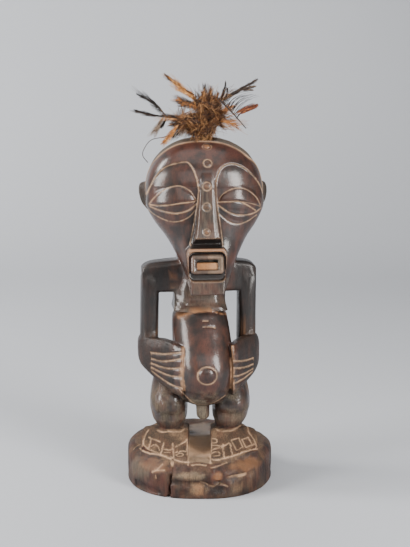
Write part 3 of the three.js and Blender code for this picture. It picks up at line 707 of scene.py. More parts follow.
@dataclass
class Hand:
    """A forearm and hand in one fan, from the elbow round the side of the belly to the finger tips."""

    side: int
    outer: float
    tips: float
    elbow_bottom: float
    wrist_bottom: float
    cuts: tuple[tuple[float, float], ...]
    thickness: float = 13.0
    cut_depth: float = 1.3

    def at(self, a: Array, b: Array, c: Array) -> Array:
        """The hand's points. a runs from the elbow to the tips, c from the little finger to the thumb."""
        u, w = a + 0.5, c + 0.5
        along_x = curve_through((0, self.outer), (0.16, self.outer - 0.6), (0.5, 41), (0.78, 31.5),
                                (1, self.tips))
        along_y = curve_through((0, 13), (0.16, -8), (0.5, -27), (0.78, -38), (1, -45))
        bottom = curve_through((0, self.elbow_bottom), (0.16, self.wrist_bottom), (0.5, 101), (0.8, 95.5),
                               (1, 94))
        top = curve_through((0, 145), (0.3, 147), (0.7, 146), (1, 143.5))
        height = top(u) - bottom(u)
        swell = 3.5 * (1 - (2 * w - 1) ** 4) - 1
        for wrist, tip in self.cuts:
            line = mix(wrist, tip, clamp((u - 0.3) / 0.7))
            gap = (w - line) * height
            swell = swell - self.cut_depth * ridge(gap, 1.7) * ramp(u, 0.33, 0.37)
        fingers = ramp(u, 0.4, 0.7) * 0.35 * np.cos(2 * math.pi * len(self.cuts) * (w - 0.1))
        outwards = mix(swell + fingers, -self.thickness, b + 0.5)
        facing = mix(0.1, 0.8, clamp(u * 1.2))
        x = along_x(u) + outwards * (1 - facing)
        return points_of(self.side * x, along_y(u) - outwards * facing, mix(bottom(u), top(u), w))

    def line(self, number: int) -> Array:
        """The path of one of its cuts along the skin."""
        u = np.linspace(0.34, 1.0, 6)
        wrist, tip = self.cuts[number]
        return self.at(u - 0.5, np.full(6, -0.5), mix(wrist, tip, clamp((u - 0.3) / 0.7)) - 0.5)

    def tip_edge(self) -> Array:
        """The path along its finger tips."""
        w = np.linspace(0.02, 0.97, 8)
        return self.at(np.full(8, 0.5), np.full(8, -0.25), w - 0.5)

    def add_to(self, stock: Stock) -> None:
        """Adds the hand."""
        stock.add_block(84, self.at, on_upper_body)


LEFT_CUTS = ((0.15, 0.19), (0.25, 0.42), (0.35, 0.6), (0.46, 0.79), (0.63, 0.91))
RIGHT_CUTS = ((0.12, 0.26), (0.19, 0.41), (0.3, 0.58), (0.45, 0.72))


@dataclass
class Belly:
    """The belly, a barrel that swells forward and is drawn in under the neck, with its navel."""

    half_width: Curve = curve_through(
        (TORSO_BOTTOM, 14), (86, 24), (98, 30), (120, 31), (143, 29), (165, 27.4), (172, 24.5),
        (TORSO_TOP, 12)
    )
    front: Curve = curve_through(
        (TORSO_BOTTOM, 33), (87, 45), (98, 53), (115, 57.5), (132, 53.5), (150, 43.5), (168, 33),
        (174, 28.5), (TORSO_TOP, 18)
    )
    back: Curve = curve_through(
        (TORSO_BOTTOM, 24), (89, 32), (99, 35), (112, 31), (126, 22), (150, 18.5), (TORSO_TOP, 19.5)
    )

    def barrel(self, share: Array, angle: Array) -> Array:
        """The belly's points."""
        z = mix(TORSO_BOTTOM, TORSO_TOP, share)
        x, y = section(angle, self.half_width(z), self.front(z), self.back(z), 2.3)
        return points_of(x + CHEST_SHIFT * clamp((z - 124) / 42), y, z)

    def navel(self, u: Array, v: Array, w: Array) -> Array:
        """A low round boss on the front of the belly."""
        return points_of(8.4 * u, -55.2 - 4.2 * v, 118.5 + 7.8 * w)

    def member(self, share: Array, angle: Array) -> Array:
        """The short round peg under the belly."""
        radius = curve_through((0, 4.4), (0.05, 5.9), (0.2, 6.6), (1, 6.6))(share**2)
        y = mix(-31, -25, share) + radius * np.sin(angle)
        return points_of(-1.6 + radius * np.cos(angle), y, mix(68, 96, share**2))

    def add_to(self, stock: Stock) -> None:
        """Adds the belly, the navel and the peg."""
        stock.add_skin(200, 180, self.barrel, on_upper_body)
        stock.add_ball(self.navel, on_upper_body)
        stock.add_skin(48, 48, self.member, on_upper_body)


@dataclass
class Leg:
    """A short bent leg: the knee hangs over a narrower shin."""

    side: int
    half_width: Curve = curve_through(
        (34, 14), (57, 13.4), (61, 15.3), (66, 17.4), (73, 18.5), (76, 18.7), (85, 18.6), (94, 17.4),
        (108, 14)
    )
    front: Curve = curve_through(
        (34, 28), (57, 31), (61, 32.5), (66, 34.2), (72, 33.9), (74.5, 35.6), (78, 37.2), (84, 37.4),
        (93, 34), (108, 22)
    )
    back: Curve = curve_through((34, 22), (55, 23), (76, 20), (92, 25), (101, 24), (108, 14))

    def at(self, share: Array, angle: Array) -> Array:
        """The leg's points."""
        z = mix(30, 108, share)
        x, y = section(angle, self.half_width(z), self.front(z), self.back(z), 2.5)
        drift = 1.2 if self.side < 0 else 2.4  # how far the shin stands inwards of the knee
        return points_of(self.side * (31.2 - drift * clamp((76 - z) / 18)) + x, y, z)

    def add_to(self, stock: Stock) -> None:
        """Adds the leg."""
        stock.add_skin(120, 110, self.at, on_legs)


@dataclass
class Foot:
    """A foot that slopes from the instep down to a row of square toes along the rim of the base."""

    side: int
    inner: float = 11.2
    outer: float = 57.5
    heel_outer: float = 48.0
    toe: float = -61.5
    heel: float = 30.0
    length: float = 92.0
    toe_length: float = 17.0
    cut_depth: float = 0.9
    top: Curve = curve_through((0, 0.6), (3, 3.4), (6, 4.6), (12, 8.8), (28, 22.5), (40, 21), (92, 11))

    def toe_edge(self, across: Array) -> Array:
        """The y of the front of the toes, from the inside of the foot to the outside."""
        return self.toe + 20 * across**1.8

    def cut(self, across: Array, back: Array) -> Array:
        """How deep the lines round and between the toes are, as a share of their depth."""
        toe = across * TOE_COUNT
        width = (self.outer - self.inner) * np.abs(toe - np.rint(toe)) / TOE_COUNT
        between = ridge(width, 1.5) * ramp(-back, -self.toe_length, 0.8 - self.toe_length)
        between = between * ramp(back, 0.4, 1.4)
        behind = ridge(back - self.toe_length, 1.5)
        return np.maximum(between, behind) * ramp(across, 0.01, 0.04) * ramp(-across, -0.99, -0.96)

    def at(self, a: Array, b: Array, c: Array) -> Array:
        """The foot's points. b runs from the toe edge back to the heel."""
        across = a + 0.5
        back = self.length * (b + 0.5) ** 1.35
        edge = self.toe_edge(across)
        y = mix(edge, self.heel, back / self.length)
        outer = mix(self.outer, self.heel_outer, clamp((back - 20) / 50))
        outer_fall = 5.5 if self.side < 0 else 7.5
        side_fall = (outer_fall * across**5 + 3 * (1 - across) ** 12) * clamp((back - 8) / 20)
        top = BASE_TOP + self.top(back) + 2.2 * across**2 - side_fall
        top = top - self.cut_depth * self.cut(across, back)
        return points_of(self.side * mix(self.inner, outer, across), y, mix(BASE_TOP - 6, top, c + 0.5))

    def add_to(self, stock: Stock) -> None:
        """Adds the foot."""
        stock.add_block(90, self.at, lambda points: points)


@dataclass
class Base:
    """The thick round base. Its rim is rubbed down to a wide slope at the front, where it has split and
    flaked.
    """

    front_radius: Curve = curve_through(
        (0, 0), (0.16, 50), (0.2, 71.8), (0.22, 72.7), (0.3, BASE_RADIUS), (0.4, 72.3), (0.5, 68.5),
        (0.58, BASE_TOP_RADIUS), (0.7, 54), (1, 0)
    )
    front_height: Curve = curve_through(
        (0, 0), (0.2, 0), (0.22, 2.5), (0.3, 12), (0.4, 23), (0.5, 28.6), (0.58, 33.2), (0.7, BASE_TOP),
        (1, BASE_TOP)
    )
    back_radius: Curve = curve_through(
        (0, 0), (0.16, 50), (0.2, 71.8), (0.22, 72.7), (0.3, BASE_RADIUS), (0.42, BASE_RADIUS),
        (0.5, 71.4), (0.56, 68.5), (0.65, 61), (1, 0)
    )
    back_height: Curve = curve_through(
        (0, 0), (0.2, 0), (0.22, 2.5), (0.3, 14), (0.42, 30), (0.5, 34), (0.56, 36.1), (0.65, 36.5),
        (0.75, 35), (1, BASE_TOP)
    )

    def at(self, share: Array, angle: Array) -> Array:
        """The base's points, from the middle of its underside round the rim to the middle of its top."""
        worn_back = 0.5 * np.maximum(0, np.cos(angle - math.radians(40))) ** 4
        behind = clamp(1 + 1.25 * np.sin(angle)) - worn_back
        corners = 0.06 * clamp(-np.sin(angle)) * np.abs(np.sin(2 * angle)) ** 1.5
        wave = 0.004 * np.sin(2 * angle) + 0.004 * np.sin(4 * angle)
        radius = mix(self.front_radius(share), self.back_radius(share), behind)
        z = mix(self.front_height(share), self.back_height(share), behind)
        radius = radius * (1 + (corners + wave) * ramp(radius, 40, 70))
        x, y = radius * np.cos(angle), radius * np.sin(angle)
        return points_of(x, y, z)

    def add_to(self, stock: Stock) -> None:
        """Adds the base."""
        stock.add_skin(360, 170, self.at, lambda points: points)


# Carving the fused skin


@dataclass(frozen=True)
class Cut:
    """A line cut with a narrow gouge. Its path is in x and z, or in x, y and z where the wood is steep."""

    path: tuple[tuple[float, ...], ...]
    width: float = 1.15
    depth: float = 0.4
    pale: float = 0.75
    smooth: bool = True


# Lines of the face, in the head's frame
FACE_CUTS = (
    Cut(((-57, 287.5), (-48.5, 305.8), (-38.2, 316.4), (-21.3, 321.1), (-14.9, 317.5), (-10.6, 307.5),
         (-8.2, 294.7)), 1.25, 0.3),
    Cut(((-8.3, 294.7), (-9.7, 281), (-13.1, 261), (-16.5, 243)), 1.0, 0.3, 0.6),
    Cut(((60, 281), (57, 288), (50.3, 300.9), (38.7, 313), (27.3, 318.7), (17.4, 318.1), (11.3, 312.8),
         (7.9, 303)), 1.2, 0.3, 0.7),
    Cut(((7.9, 303), (9.3, 280), (12.7, 261), (15, 241)), 1.0, 0.3, 0.5),
    Cut(((-54, 280.1), (-48.7, 287.8), (-38.6, 296), (-26.6, 299.1), (-16.3, 294.4), (-10.7, 285.4)),
        1.0, 0.45, 0.6),
    Cut(((-53, 279.6), (-38.8, 280.6), (-25.9, 282.9), (-12, 284.6)), 1.2, 0.5, 0.95),
    Cut(((-53, 278.2), (-51.4, 277.3), (-38.7, 274.1), (-28.6, 273), (-17.3, 276.4), (-10.7, 282.1)),
        1.5, 0.5, 0.6),
    Cut(((-55.5, 275.2), (-48.6, 270.1), (-37.7, 265.6), (-27.6, 265.1), (-17.3, 269.7), (-10.7, 277.3)),
        1.0, 0.4, 0.55),
    Cut(((10.2, 284.1), (15, 291.2), (25.4, 296.2), (36.4, 295.3), (47, 287.8), (53.1, 278.1)),
        1.0, 0.4, 0.5),
    Cut(((10.5, 283.7), (20, 284), (29.7, 283.9), (39, 279.8), (47.5, 274)), 1.15, 0.5, 0.9),
    Cut(((29.7, 283.9), (41.4, 281.8), (53.2, 277.1)), 0.9, 0.35, 0.55),
    Cut(((10.2, 280.8), (19.8, 274), (30.2, 270.6), (40, 270.6), (47.6, 272), (54, 275)), 1.3, 0.5, 0.65),
    Cut(((11.2, 272.7), (19.9, 265.3), (28.9, 261.9), (39.3, 263.9), (49.2, 268.9)), 1.0, 0.4, 0.5),
)
# Lines of the chest and belly, in the upper body's frame
CHEST_CUTS = (
    Cut(((-2.1, 166.9), (2.8, 166.7)), 0.9, 0.4, 0.6),
    Cut(((-2.4, 161.7), (6.6, 161.3), (9.4, 160.1)), 0.9, 0.4, 0.7),
    Cut(((-26.5, 102.2), (-17.6, 92.4), (-8.6, 85.6), (4.3, 86.5), (18.5, 94.5)), 0.9, 0.0, 0.5),
)
# Lines of the feet and round them, in the figure's own frame
FOOT_CUTS = (
    Cut(((-59.5, -25.4, 34.9), (-53, -44.2, 37.4), (-40.3, -50.9, 37.4), (-26.2, -58.7, 35.4),
         (-18.5, -60.7, 33.7), (-11, -62, 33)), 1.5, 0.3, 0.8),
    Cut(((-26.6, -44.1, 46.3), (-25.6, -50.9, 41.4), (-25.1, -57.4, 36.5)), 1.2, 0.5, 0.7),
    Cut(((-35.2, -41.7, 46.3), (-36.6, -47.1, 41.7), (-38.3, -52.3, 37.1)), 1.2, 0.5, 0.75),
    Cut(((-23.3, -52.7, 40.4), (-18.7, -52.1, 41.4), (-13.3, -52.6, 41.2)), 1.1, 0.5),
    Cut(((-22.5, -55, 38.6), (-18.7, -53.9, 39.6), (-15.6, -54.9, 39), (-17.1, -57, 37.5),
         (-21.7, -56.6, 37.6), (-22.5, -55, 38.6)), 0.9, 0.4, 0.6),
    Cut(((-23.4, -47.5, 44.3), (-14.2, -43.3, 47.7), (-11.2, -37.1, 50.4)), 1.2, 0.5, 0.7),
    Cut(((-35, -47.5, 41.8), (-29.6, -48.7, 41.5), (-26.5, -49.3, 42.5)), 1.1, 0.4, 0.6),
    Cut(((-34.1, -50.6, 39.2), (-28.7, -51.4, 39.6)), 0.9, 0.4, 0.5),
    Cut(((-50.4, -31.8, 48.6), (-47.2, -34.1, 47.7), (-42.3, -37.3, 47.2), (-39.2, -39.3, 46.3)),
        1.1, 0.5, 0.7),
    Cut(((-55.8, -32.8, 44.9), (-54.9, -36.9, 42.2), (-49.9, -42.6, 40.1), (-45.1, -46.5, 39.1),
         (-39.5, -50.4, 38)), 1.1, 0.5, 0.75),
    Cut(((-47.7, -40.6, 42.7), (-43.8, -40.7, 44.3), (-40.5, -43.9, 43), (-38.9, -46.3, 40.6)),
        1.0, 0.4, 0.6),
    Cut(((-48, -33.7, 47.6), (-48.6, -37.8, 44.1), (-50, -41.2, 41.2)), 1.0, 0.4, 0.6),
    Cut(((-41, -29.9, 54.5), (-36.2, -32.8, 53.8), (-30, -33.8, 54.6), (-23.7, -34.6, 54.8),
         (-17.5, -33.9, 55.4), (-12.3, -18.2, 52.3)), 1.5, 0.3, 0.6),
    Cut(((-11.3, -26, 53), (-11.3, -38, 50), (-11.3, -47, 45), (-11.2, -55, 39), (-11, -61, 34),
         (-10.8, -65, 31.2)), 1.3, 0.2, 0.8),
    Cut(((-50.6, -25.6, 53.1), (-54.4, -30, 47.2), (-56.8, -37.5, 40.8)), 1.2, 0.3, 0.6),
    Cut(((-65.9, -23.7, 32.6), (-62.2, -19.2, 35.2), (-59.2, -15.8, 35.7)), 1.1, 0.3, 0.6),
    Cut(((9.5, -51.9, 35), (13.5, -60.9, 35.4), (23.5, -58.4, 36), (35.1, -53.1, 37.4), (43, -47.9, 38.7),
         (52.5, -42.1, 39.1), (57.3, -39.4, 39)), 1.4, 0.3, 0.75),
    Cut(((10, -24, 53), (10, -38, 50), (10, -47, 45), (10.2, -55, 39), (10.4, -61, 34.4),
         (10.5, -63.2, 33)), 1.3, 0.2, 0.75),
    Cut(((22.9, -45.4, 45.9), (23.2, -51.2, 41.5), (24.3, -57.6, 36.5)), 1.2, 0.5, 0.75),
    Cut(((29.9, -43, 45.9), (30.6, -47.8, 42.7), (32, -53.2, 38.2)), 1.1, 0.5, 0.6),
    Cut(((12.1, -39.6, 49.2), (16.8, -41, 48.6), (16.4, -43.7, 47), (11.3, -43.4, 47)), 0.9, 0.4, 0.55),
    Cut(((11.3, -45.9, 45.3), (21.4, -47.1, 44.9)), 1.0, 0.4, 0.6),
    Cut(((12.1, -50.9, 42.2), (16.7, -49.6, 43.4), (22.1, -47.7, 44.3), (29.1, -43.7, 46.2)), 1.1, 0.5, 0.7),
    Cut(((12.1, -54.1, 39.8), (15.9, -52.3, 41), (19.7, -53.1, 40.4), (18.9, -56.1, 38),
         (13.6, -57.2, 37.4)), 0.9, 0.4, 0.6),
    Cut(((31.5, -40.3, 48.2), (38.6, -37, 49.6), (42.3, -43.2, 42.8), (36, -47.9, 41.2),
         (31.5, -40.3, 48.2)), 1.1, 0.5, 0.7, False),
    Cut(((41.7, -36.6, 47.8), (48.1, -32.8, 48.9), (51.9, -37.9, 42.5), (45.5, -42.8, 41.8),
         (41.7, -36.6, 47.8)), 1.1, 0.5, 0.7, False),
    Cut(((44.2, -7.6, 52.9), (48.3, -27.4, 52.9), (52.9, -30.9, 46.7), (56.6, -37.4, 40.7)), 1.2, 0.3, 0.6),
    Cut(((51, -39.1, 41.5), (54.3, -36, 43), (55.7, -39.3, 40.4), (50.9, -43.5, 39)), 0.9, 0.4, 0.6),
    Cut(((12.3, -18.2, 52.2), (18.4, -33.7, 55.8), (26.2, -33.9, 55), (34.1, -31, 55.7),
         (41.5, -16.8, 55.1)), 1.5, 0.3, 0.5),
    Cut(((-7.8, -65.1, 31.3), (-0.9, -64.6, 31.9), (6.7, -65.2, 31.3)), 1.1, 0.2, 0.6),
    Cut(((11.2, -67.1, 29.6), (18.9, -64.7, 30.7), (27, -60.5, 33)), 1.0, 0.2, 0.5),
)
# Scratches in the wall of the base, seen from the front
BASE_CUTS = (
    Cut(((1.3, 17.7), (5.1, 16.1), (8.9, 13.9), (13.5, 12.9), (18.8, 15), (23.4, 13.9), (27.2, 11.9)),
        1.3, 0.9, 0.45),
    Cut(((-45.8, 22.6), (-41.5, 25), (-33.7, 26.2)), 1.1, 0.3, 0.6),
    Cut(((-41.5, 25), (-38.5, 28), (-35.8, 30.3)), 1.1, 0.3, 0.6),
    Cut(((-42.6, 20.6), (-41.9, 17.7)), 0.9, 0.3, 0.5),
)


@dataclass(frozen=True)
class Stud:
    """A small boss in an incised ring, on the face's centre line."""

    x: float
    z: float
    radius: float
    pale_ring: float
    bare_boss: float


STUDS = (
    Stud(1.0, 335.3, 4.5, 0.3, 0.85),
    Stud(0.5, 320.4, 4.0, 0.7, 0.1),
    Stud(-1.1, 299.6, 4.1, 0.8, 0.45),
    Stud(-1.1, 280.0, 3.9, 0.4, 0.2),
    Stud(-1.6, 256.7, 3.3, 0.45, 0.55),
)
# y of the ridge where the face ends, across the head
HAIRLINE = curve_through(
    (-56, -8), (-51, -10), (-46, -15), (-23, -16.5), (0, -17), (17, -19), (33, -22), (42, -22.5),
    (50, -18), (56, -18)
)


class Mask(Enum):
    """What lies on the wood at a place, or the shade, sheen and light painted there, each kept as an
    attribute of the skin.
    """

    PALE = "pale"  # chalky dust in the cuts, and painted light on the lips and on the strip between the feet
    DUST = "dust"  # brown dust on the feet and base
    RAW = "raw"  # bare orange wood
    SOOT_AND_SHADE = "soot_and_shade"  # black patina, and painted shade under the nose and chin and in the mouth's recess
    RED = "red"  # reddish patina
    GREY = "grey"  # grey dry wood, and painted sheen on the nose, chin, lips and neck
    GLOSS = "gloss"  # polished by hands
    EDGE = "edge"  # worn edges
    PIT = "pit"  # hollows that hold dirt


@dataclass
class Skin:
    """The fused skin while it is carved: its vertices, and the same points in each part's own frame."""

    piece: bpy.types.Object

    def __post_init__(self) -> None:
        """Reads the vertices."""
        self.read()

    def read(self) -> None:
        """Reads the vertices and normals from the mesh."""
        mesh = self.piece.data
        self.points = coordinates(mesh)
        flat = np.empty(len(mesh.vertices) * 3, np.float32)
        mesh.vertices.foreach_get("normal", flat)
        self.normals = flat.reshape(-1, 3).astype(float)
        self.upper = from_upper_body(self.points)
        self.head = from_head(self.points)

    def push(self, out: Array) -> None:
        """Moves every vertex along its normal, and reads the mesh again."""
        set_coordinates(self.piece.data, self.points + self.normals * out[:, None])
        self.read()

    @property
    def on_face(self) -> Array:
        """Which vertices are on the front of the head."""
        x, y, z = self.head.T
        jaw = (z > 240) | (y < -19)
        return (z > CHIN_BOTTOM) & (y < HAIRLINE(x) + 5) & jaw & (self.normals[:, 1] < 0.25)

    @property
    def on_head(self) -> Array:
        """Which vertices are on the head."""
        x, y, z = self.head.T
        return (z > 227) | ((z > CHIN_BOTTOM) & (y < -21.5))

    @property
    def on_belly(self) -> Array:
        """Which vertices are on the front of the belly, between the hands."""
        x, y, z = self.upper.T
        return (z > 80) & (z < 178) & (y < -18) & (np.abs(x) < 31)

    @property
    def behind_hairline(self) -> Array:
        """How far each vertex lies behind the ridge where the face ends."""
        x, y, z = self.head.T
        return y - HAIRLINE(x)

    @property
    def from_navel_ring(self) -> Array:
        """How far each vertex lies outside the ring cut round the navel."""
        x, y, z = self.upper.T
        return np.hypot(x + 0.3, (z - 118) * 1.1) - 9.4

    def follow(self, cut: Cut, points: Array, where: Array) -> tuple[Array, Array]:
        """Finds the vertices near a cut.

        Args:
            cut: The cut.
            points: The skin's points in the frame that it is drawn in.
            where: Which vertices can be cut.

        Returns:
            The numbers of the vertices near it, and how far each is from it.
        """
        path = rounded_path(cut.path) if cut.smooth else np.array(cut.path, float)
        seen = points[:, [0, 2]] if path.shape[1] == 2 else points
        near = np.flatnonzero(where & (seen >= path.min(0) - 4).all(1) & (seen <= path.max(0) + 4).all(1))
        if path.shape[1] == 3 and len(near):
            path = np.array([seen[near[np.argmin(((seen[near] - stop) ** 2).sum(1))]] for stop in path])
        return near, distance_to_path(seen[near], path)

    def cuts(self) -> Iterable[tuple[Cut, Array, Array]]:
        """Every cut, with the points of the frame that it is drawn in and which vertices it can cut."""
        face, belly = self.on_face, self.on_belly
        for cut in FACE_CUTS:
            yield cut, self.head, face
        for cut in CHEST_CUTS:
            yield cut, self.upper, belly
        front = (self.points[:, 1] < -5) & (self.points[:, 2] < 62)
        for cut in FOOT_CUTS:
            yield cut, self.points, front & (self.points[:, 2] > 26)
        for cut in BASE_CUTS:
            yield cut, self.points, front & (self.points[:, 1] < -40) & (self.points[:, 2] < 33)
        hands = ~self.on_head & (self.upper[:, 2] > 90) & (self.upper[:, 2] < 150)
        for hand in HANDS:
            for number in range(len(hand.cuts)):
                yield Cut(hand.line(number), 1.25, 0.0, 0.7), self.upper, hands

    def lines(self) -> tuple[Array, Array]:
        """Follows every cut.

        Returns:
            How deep each vertex is cut, and how much pale dust it holds.
        """
        deep, pale = np.zeros(len(self.points)), np.zeros(len(self.points))
        wide = 1 + 0.3 * noise(self.points, 2.4, 5)
        kept = clamp(0.8 + 0.42 * noise(self.points, 4.2, 6) + 0.3 * noise(self.points, 1.5, 7))
        for cut, points, where in self.cuts():
            near, distance = self.follow(cut, points, where)
            deep[near] = np.maximum(deep[near], cut.depth * ridge(distance, 1.2 * cut.width * wide[near]))
            dust = cut.pale * kept[near] * ridge(distance, cut.width * wide[near])
            pale[near] = np.maximum(pale[near], dust)
        return deep, pale

    def stud(self, stud: Stud) -> tuple[Array, Array]:
        """Which vertices are near a stud, and how far they are from its middle along the face."""
        flat = self.head[:, [0, 2]] - (stud.x, stud.z)
        near = np.flatnonzero(self.on_face & (np.abs(flat) < 7).all(1))
        middle = self.head[near[np.argmin((flat[near] ** 2).sum(1))]]
        return near, np.linalg.norm(self.head[near] - middle, axis=1)


class Carver:
    """Cuts the relief into the skin."""

    def studs(self, skin: Skin) -> Array:
        """How far the studs, the hairline and the navel's ring move the skin outwards."""
        out = np.zeros(len(skin.points))
        for stud in STUDS:
            near, distance = skin.stud(stud)
            boss = 0.7 * np.sqrt(np.maximum(0, 1 - (distance / (0.82 * stud.radius)) ** 2))
            out[near] += boss - 0.45 * ridge(distance - stud.radius, 1.2)
        behind = skin.behind_hairline
        step = 0.5 * ridge(behind, 3.0) - 0.9 * ramp(behind, 1.0, 3.4) * ramp(-behind, -14, -8)
        out += ramp(skin.head[:, 2], 286, 296) * step
        return out - np.where(skin.on_belly, 0.45 * ridge(skin.from_navel_ring, 1.5), 0)

    def tool_marks(self, skin: Skin) -> Array:
        """Shallow facets from the adze and knife, stronger low down and at the back."""
        points = skin.points
        facets = np.abs(noise(points, (9, 9, 13), 3)) * 0.7 - 0.25 + 0.3 * noise(points, (5, 5, 11), 4)
        rough = mix(0.5, 0.16, ramp(points[:, 2], 60, 130))
        rough = np.where(skin.on_head & (skin.behind_hairline > 3), 0.3, rough)
        rough = np.where(skin.on_face, 0.07, rough)
        return facets * rough * ramp(points[:, 2], 0.3, 3)

    def grain(self, skin: Skin) -> Array:
        """Upright furrows of dry wood on the arms and the base."""
        points = skin.points
        furrow = noise(points, (1.7, 1.7, 26), 8) + 0.6 * noise(points, (3.1, 3.1, 40), 9)
        x, y, z = skin.upper.T
        arms = (np.abs(x) > 33) & (z > 146) & (z < 227) & ~skin.on_head
        wall = (np.hypot(points[:, 0], points[:, 1]) > 60) & (points[:, 2] < 33)
        depth = np.where(wall, 0.4, np.where(arms, 0.14, 0.0)) * ramp(points[:, 2], 0.3, 3)
        return np.minimum(0, furrow - 0.15) * depth

    def damage(self, skin: Skin) -> Array:
        """How far the split, the flaked rim and the chips of the base move the skin outwards."""
        points = skin.points
        x, y, z = points.T
        front = (y < -40) & (z < 36)
        flat = points[:, [0, 2]]
        out = np.zeros(len(x))
        jag = 0.5 * noise(points, (30, 30, 3.5), 12)
        middle = np.interp(z, (0, 18, 27, 34), (-29.8, -29, -26.2, -26.6))
        width = np.interp(z, (0, 14, 24, 34), (2.2, 1.7, 3.0, 2.0))
        depth = mix(7.0, 2.2, ramp(z, 19, 25))
        out -= np.where(front, depth * ridge(x - middle + jag, width) * ramp(-y, 54, 61), 0)
        ledge = distance_to_path(flat, ((-26, 16), (-8, 15.4), (3, 15), (10, 15.4)))
        out -= np.where(front & (y < -60), 1.5 * ramp(-ledge, -2.9, -1.9), 0)
        for path, reach, depth in (
            (((16, 25.5), (20, 22), (17, 18)), 4.6, 1.5),
            (((9, 10.8), (24, 9.2)), 3.2, 0.9),
            (((27, 20.6), (36, 21), (52, 21.6)), 1.9, 1.0),
            (((-66, 5), (-54, 5.4), (-40, 3.4)), 3.4, 1.3),
            (((15.5, 17), (19.5, 16.6)), 1.5, 1.4),
        ):
            away = distance_to_path(flat, path) + 0.5 * noise(points, 3.4, 14)
            out -= np.where(front, depth * ramp(-away, -reach, 0.9 - reach), 0)
        rim = ramp(np.hypot(x, y), 66, 70) * ramp(z, 0.5, 2) * ramp(-z, -36, -10)
        out -= 0.8 * ramp(noise(points, (11, 11, 6), 21), 0.45, 0.8) * rim
        lower = ramp(noise(points, (14, 14, 8), 23), 0.35, 0.75) * ramp(-z, -9, -2) * ramp(z, 0.3, 1.5)
        out -= np.where(np.hypot(x, y) > 66, 1.3 * lower, 0)
        hole = np.hypot(x + 8, y - 23)
        return out - np.where((z > 30) & (z < 40), 1.5 * ridge(hole, 2.4), 0)

    def carve(self, skin: Skin) -> None:
        """Carves the whole skin."""
        skin.push(self.tool_marks(skin) + self.grain(skin))
        skin.push(self.damage(skin))
        skin.push(self.studs(skin) - skin.lines()[0])


def thin_out(skin: Skin, triangles: int) -> None:
    """Takes triangles out of the plain places of the skin, and none near a cut or on the face.

    Args:
        skin: The carved skin.
        triangles: How many triangles it may keep.
    """
    piece = skin.piece
    piece.data.calc_loop_triangles()
    now = len(piece.data.loop_triangles)
    x, y, z = skin.head.T
    front_of_face = skin.on_face & (y < -18) & (z > 199) & (np.abs(x) < 56)
    some, all_of_it = 0.45, 1.0
    free = np.where(skin.on_belly & (skin.upper[:, 1] < -30), some, all_of_it)
    free = np.where(front_of_face | (skin.lines()[1] > 0.12), 0.0, free)
    group = piece.vertex_groups.new(name="Free")
    for weight in (some, all_of_it):
        group.add(np.flatnonzero(free == weight).tolist(), weight, "REPLACE")
    fewer = piece.modifiers.new("Fewer", "DECIMATE")
    fewer.ratio = min(1.0, triangles / now)
    fewer.vertex_group = group.name
    fewer.vertex_group_factor = 1.0
    settle(piece)
    piece.vertex_groups.clear()
    low, high = (np.array(corner) / MM for corner in CAD_BOX)  # the wood stays inside the solids' box
    set_coordinates(piece.data, np.clip(coordinates(piece.data), low, high))
    skin.read()


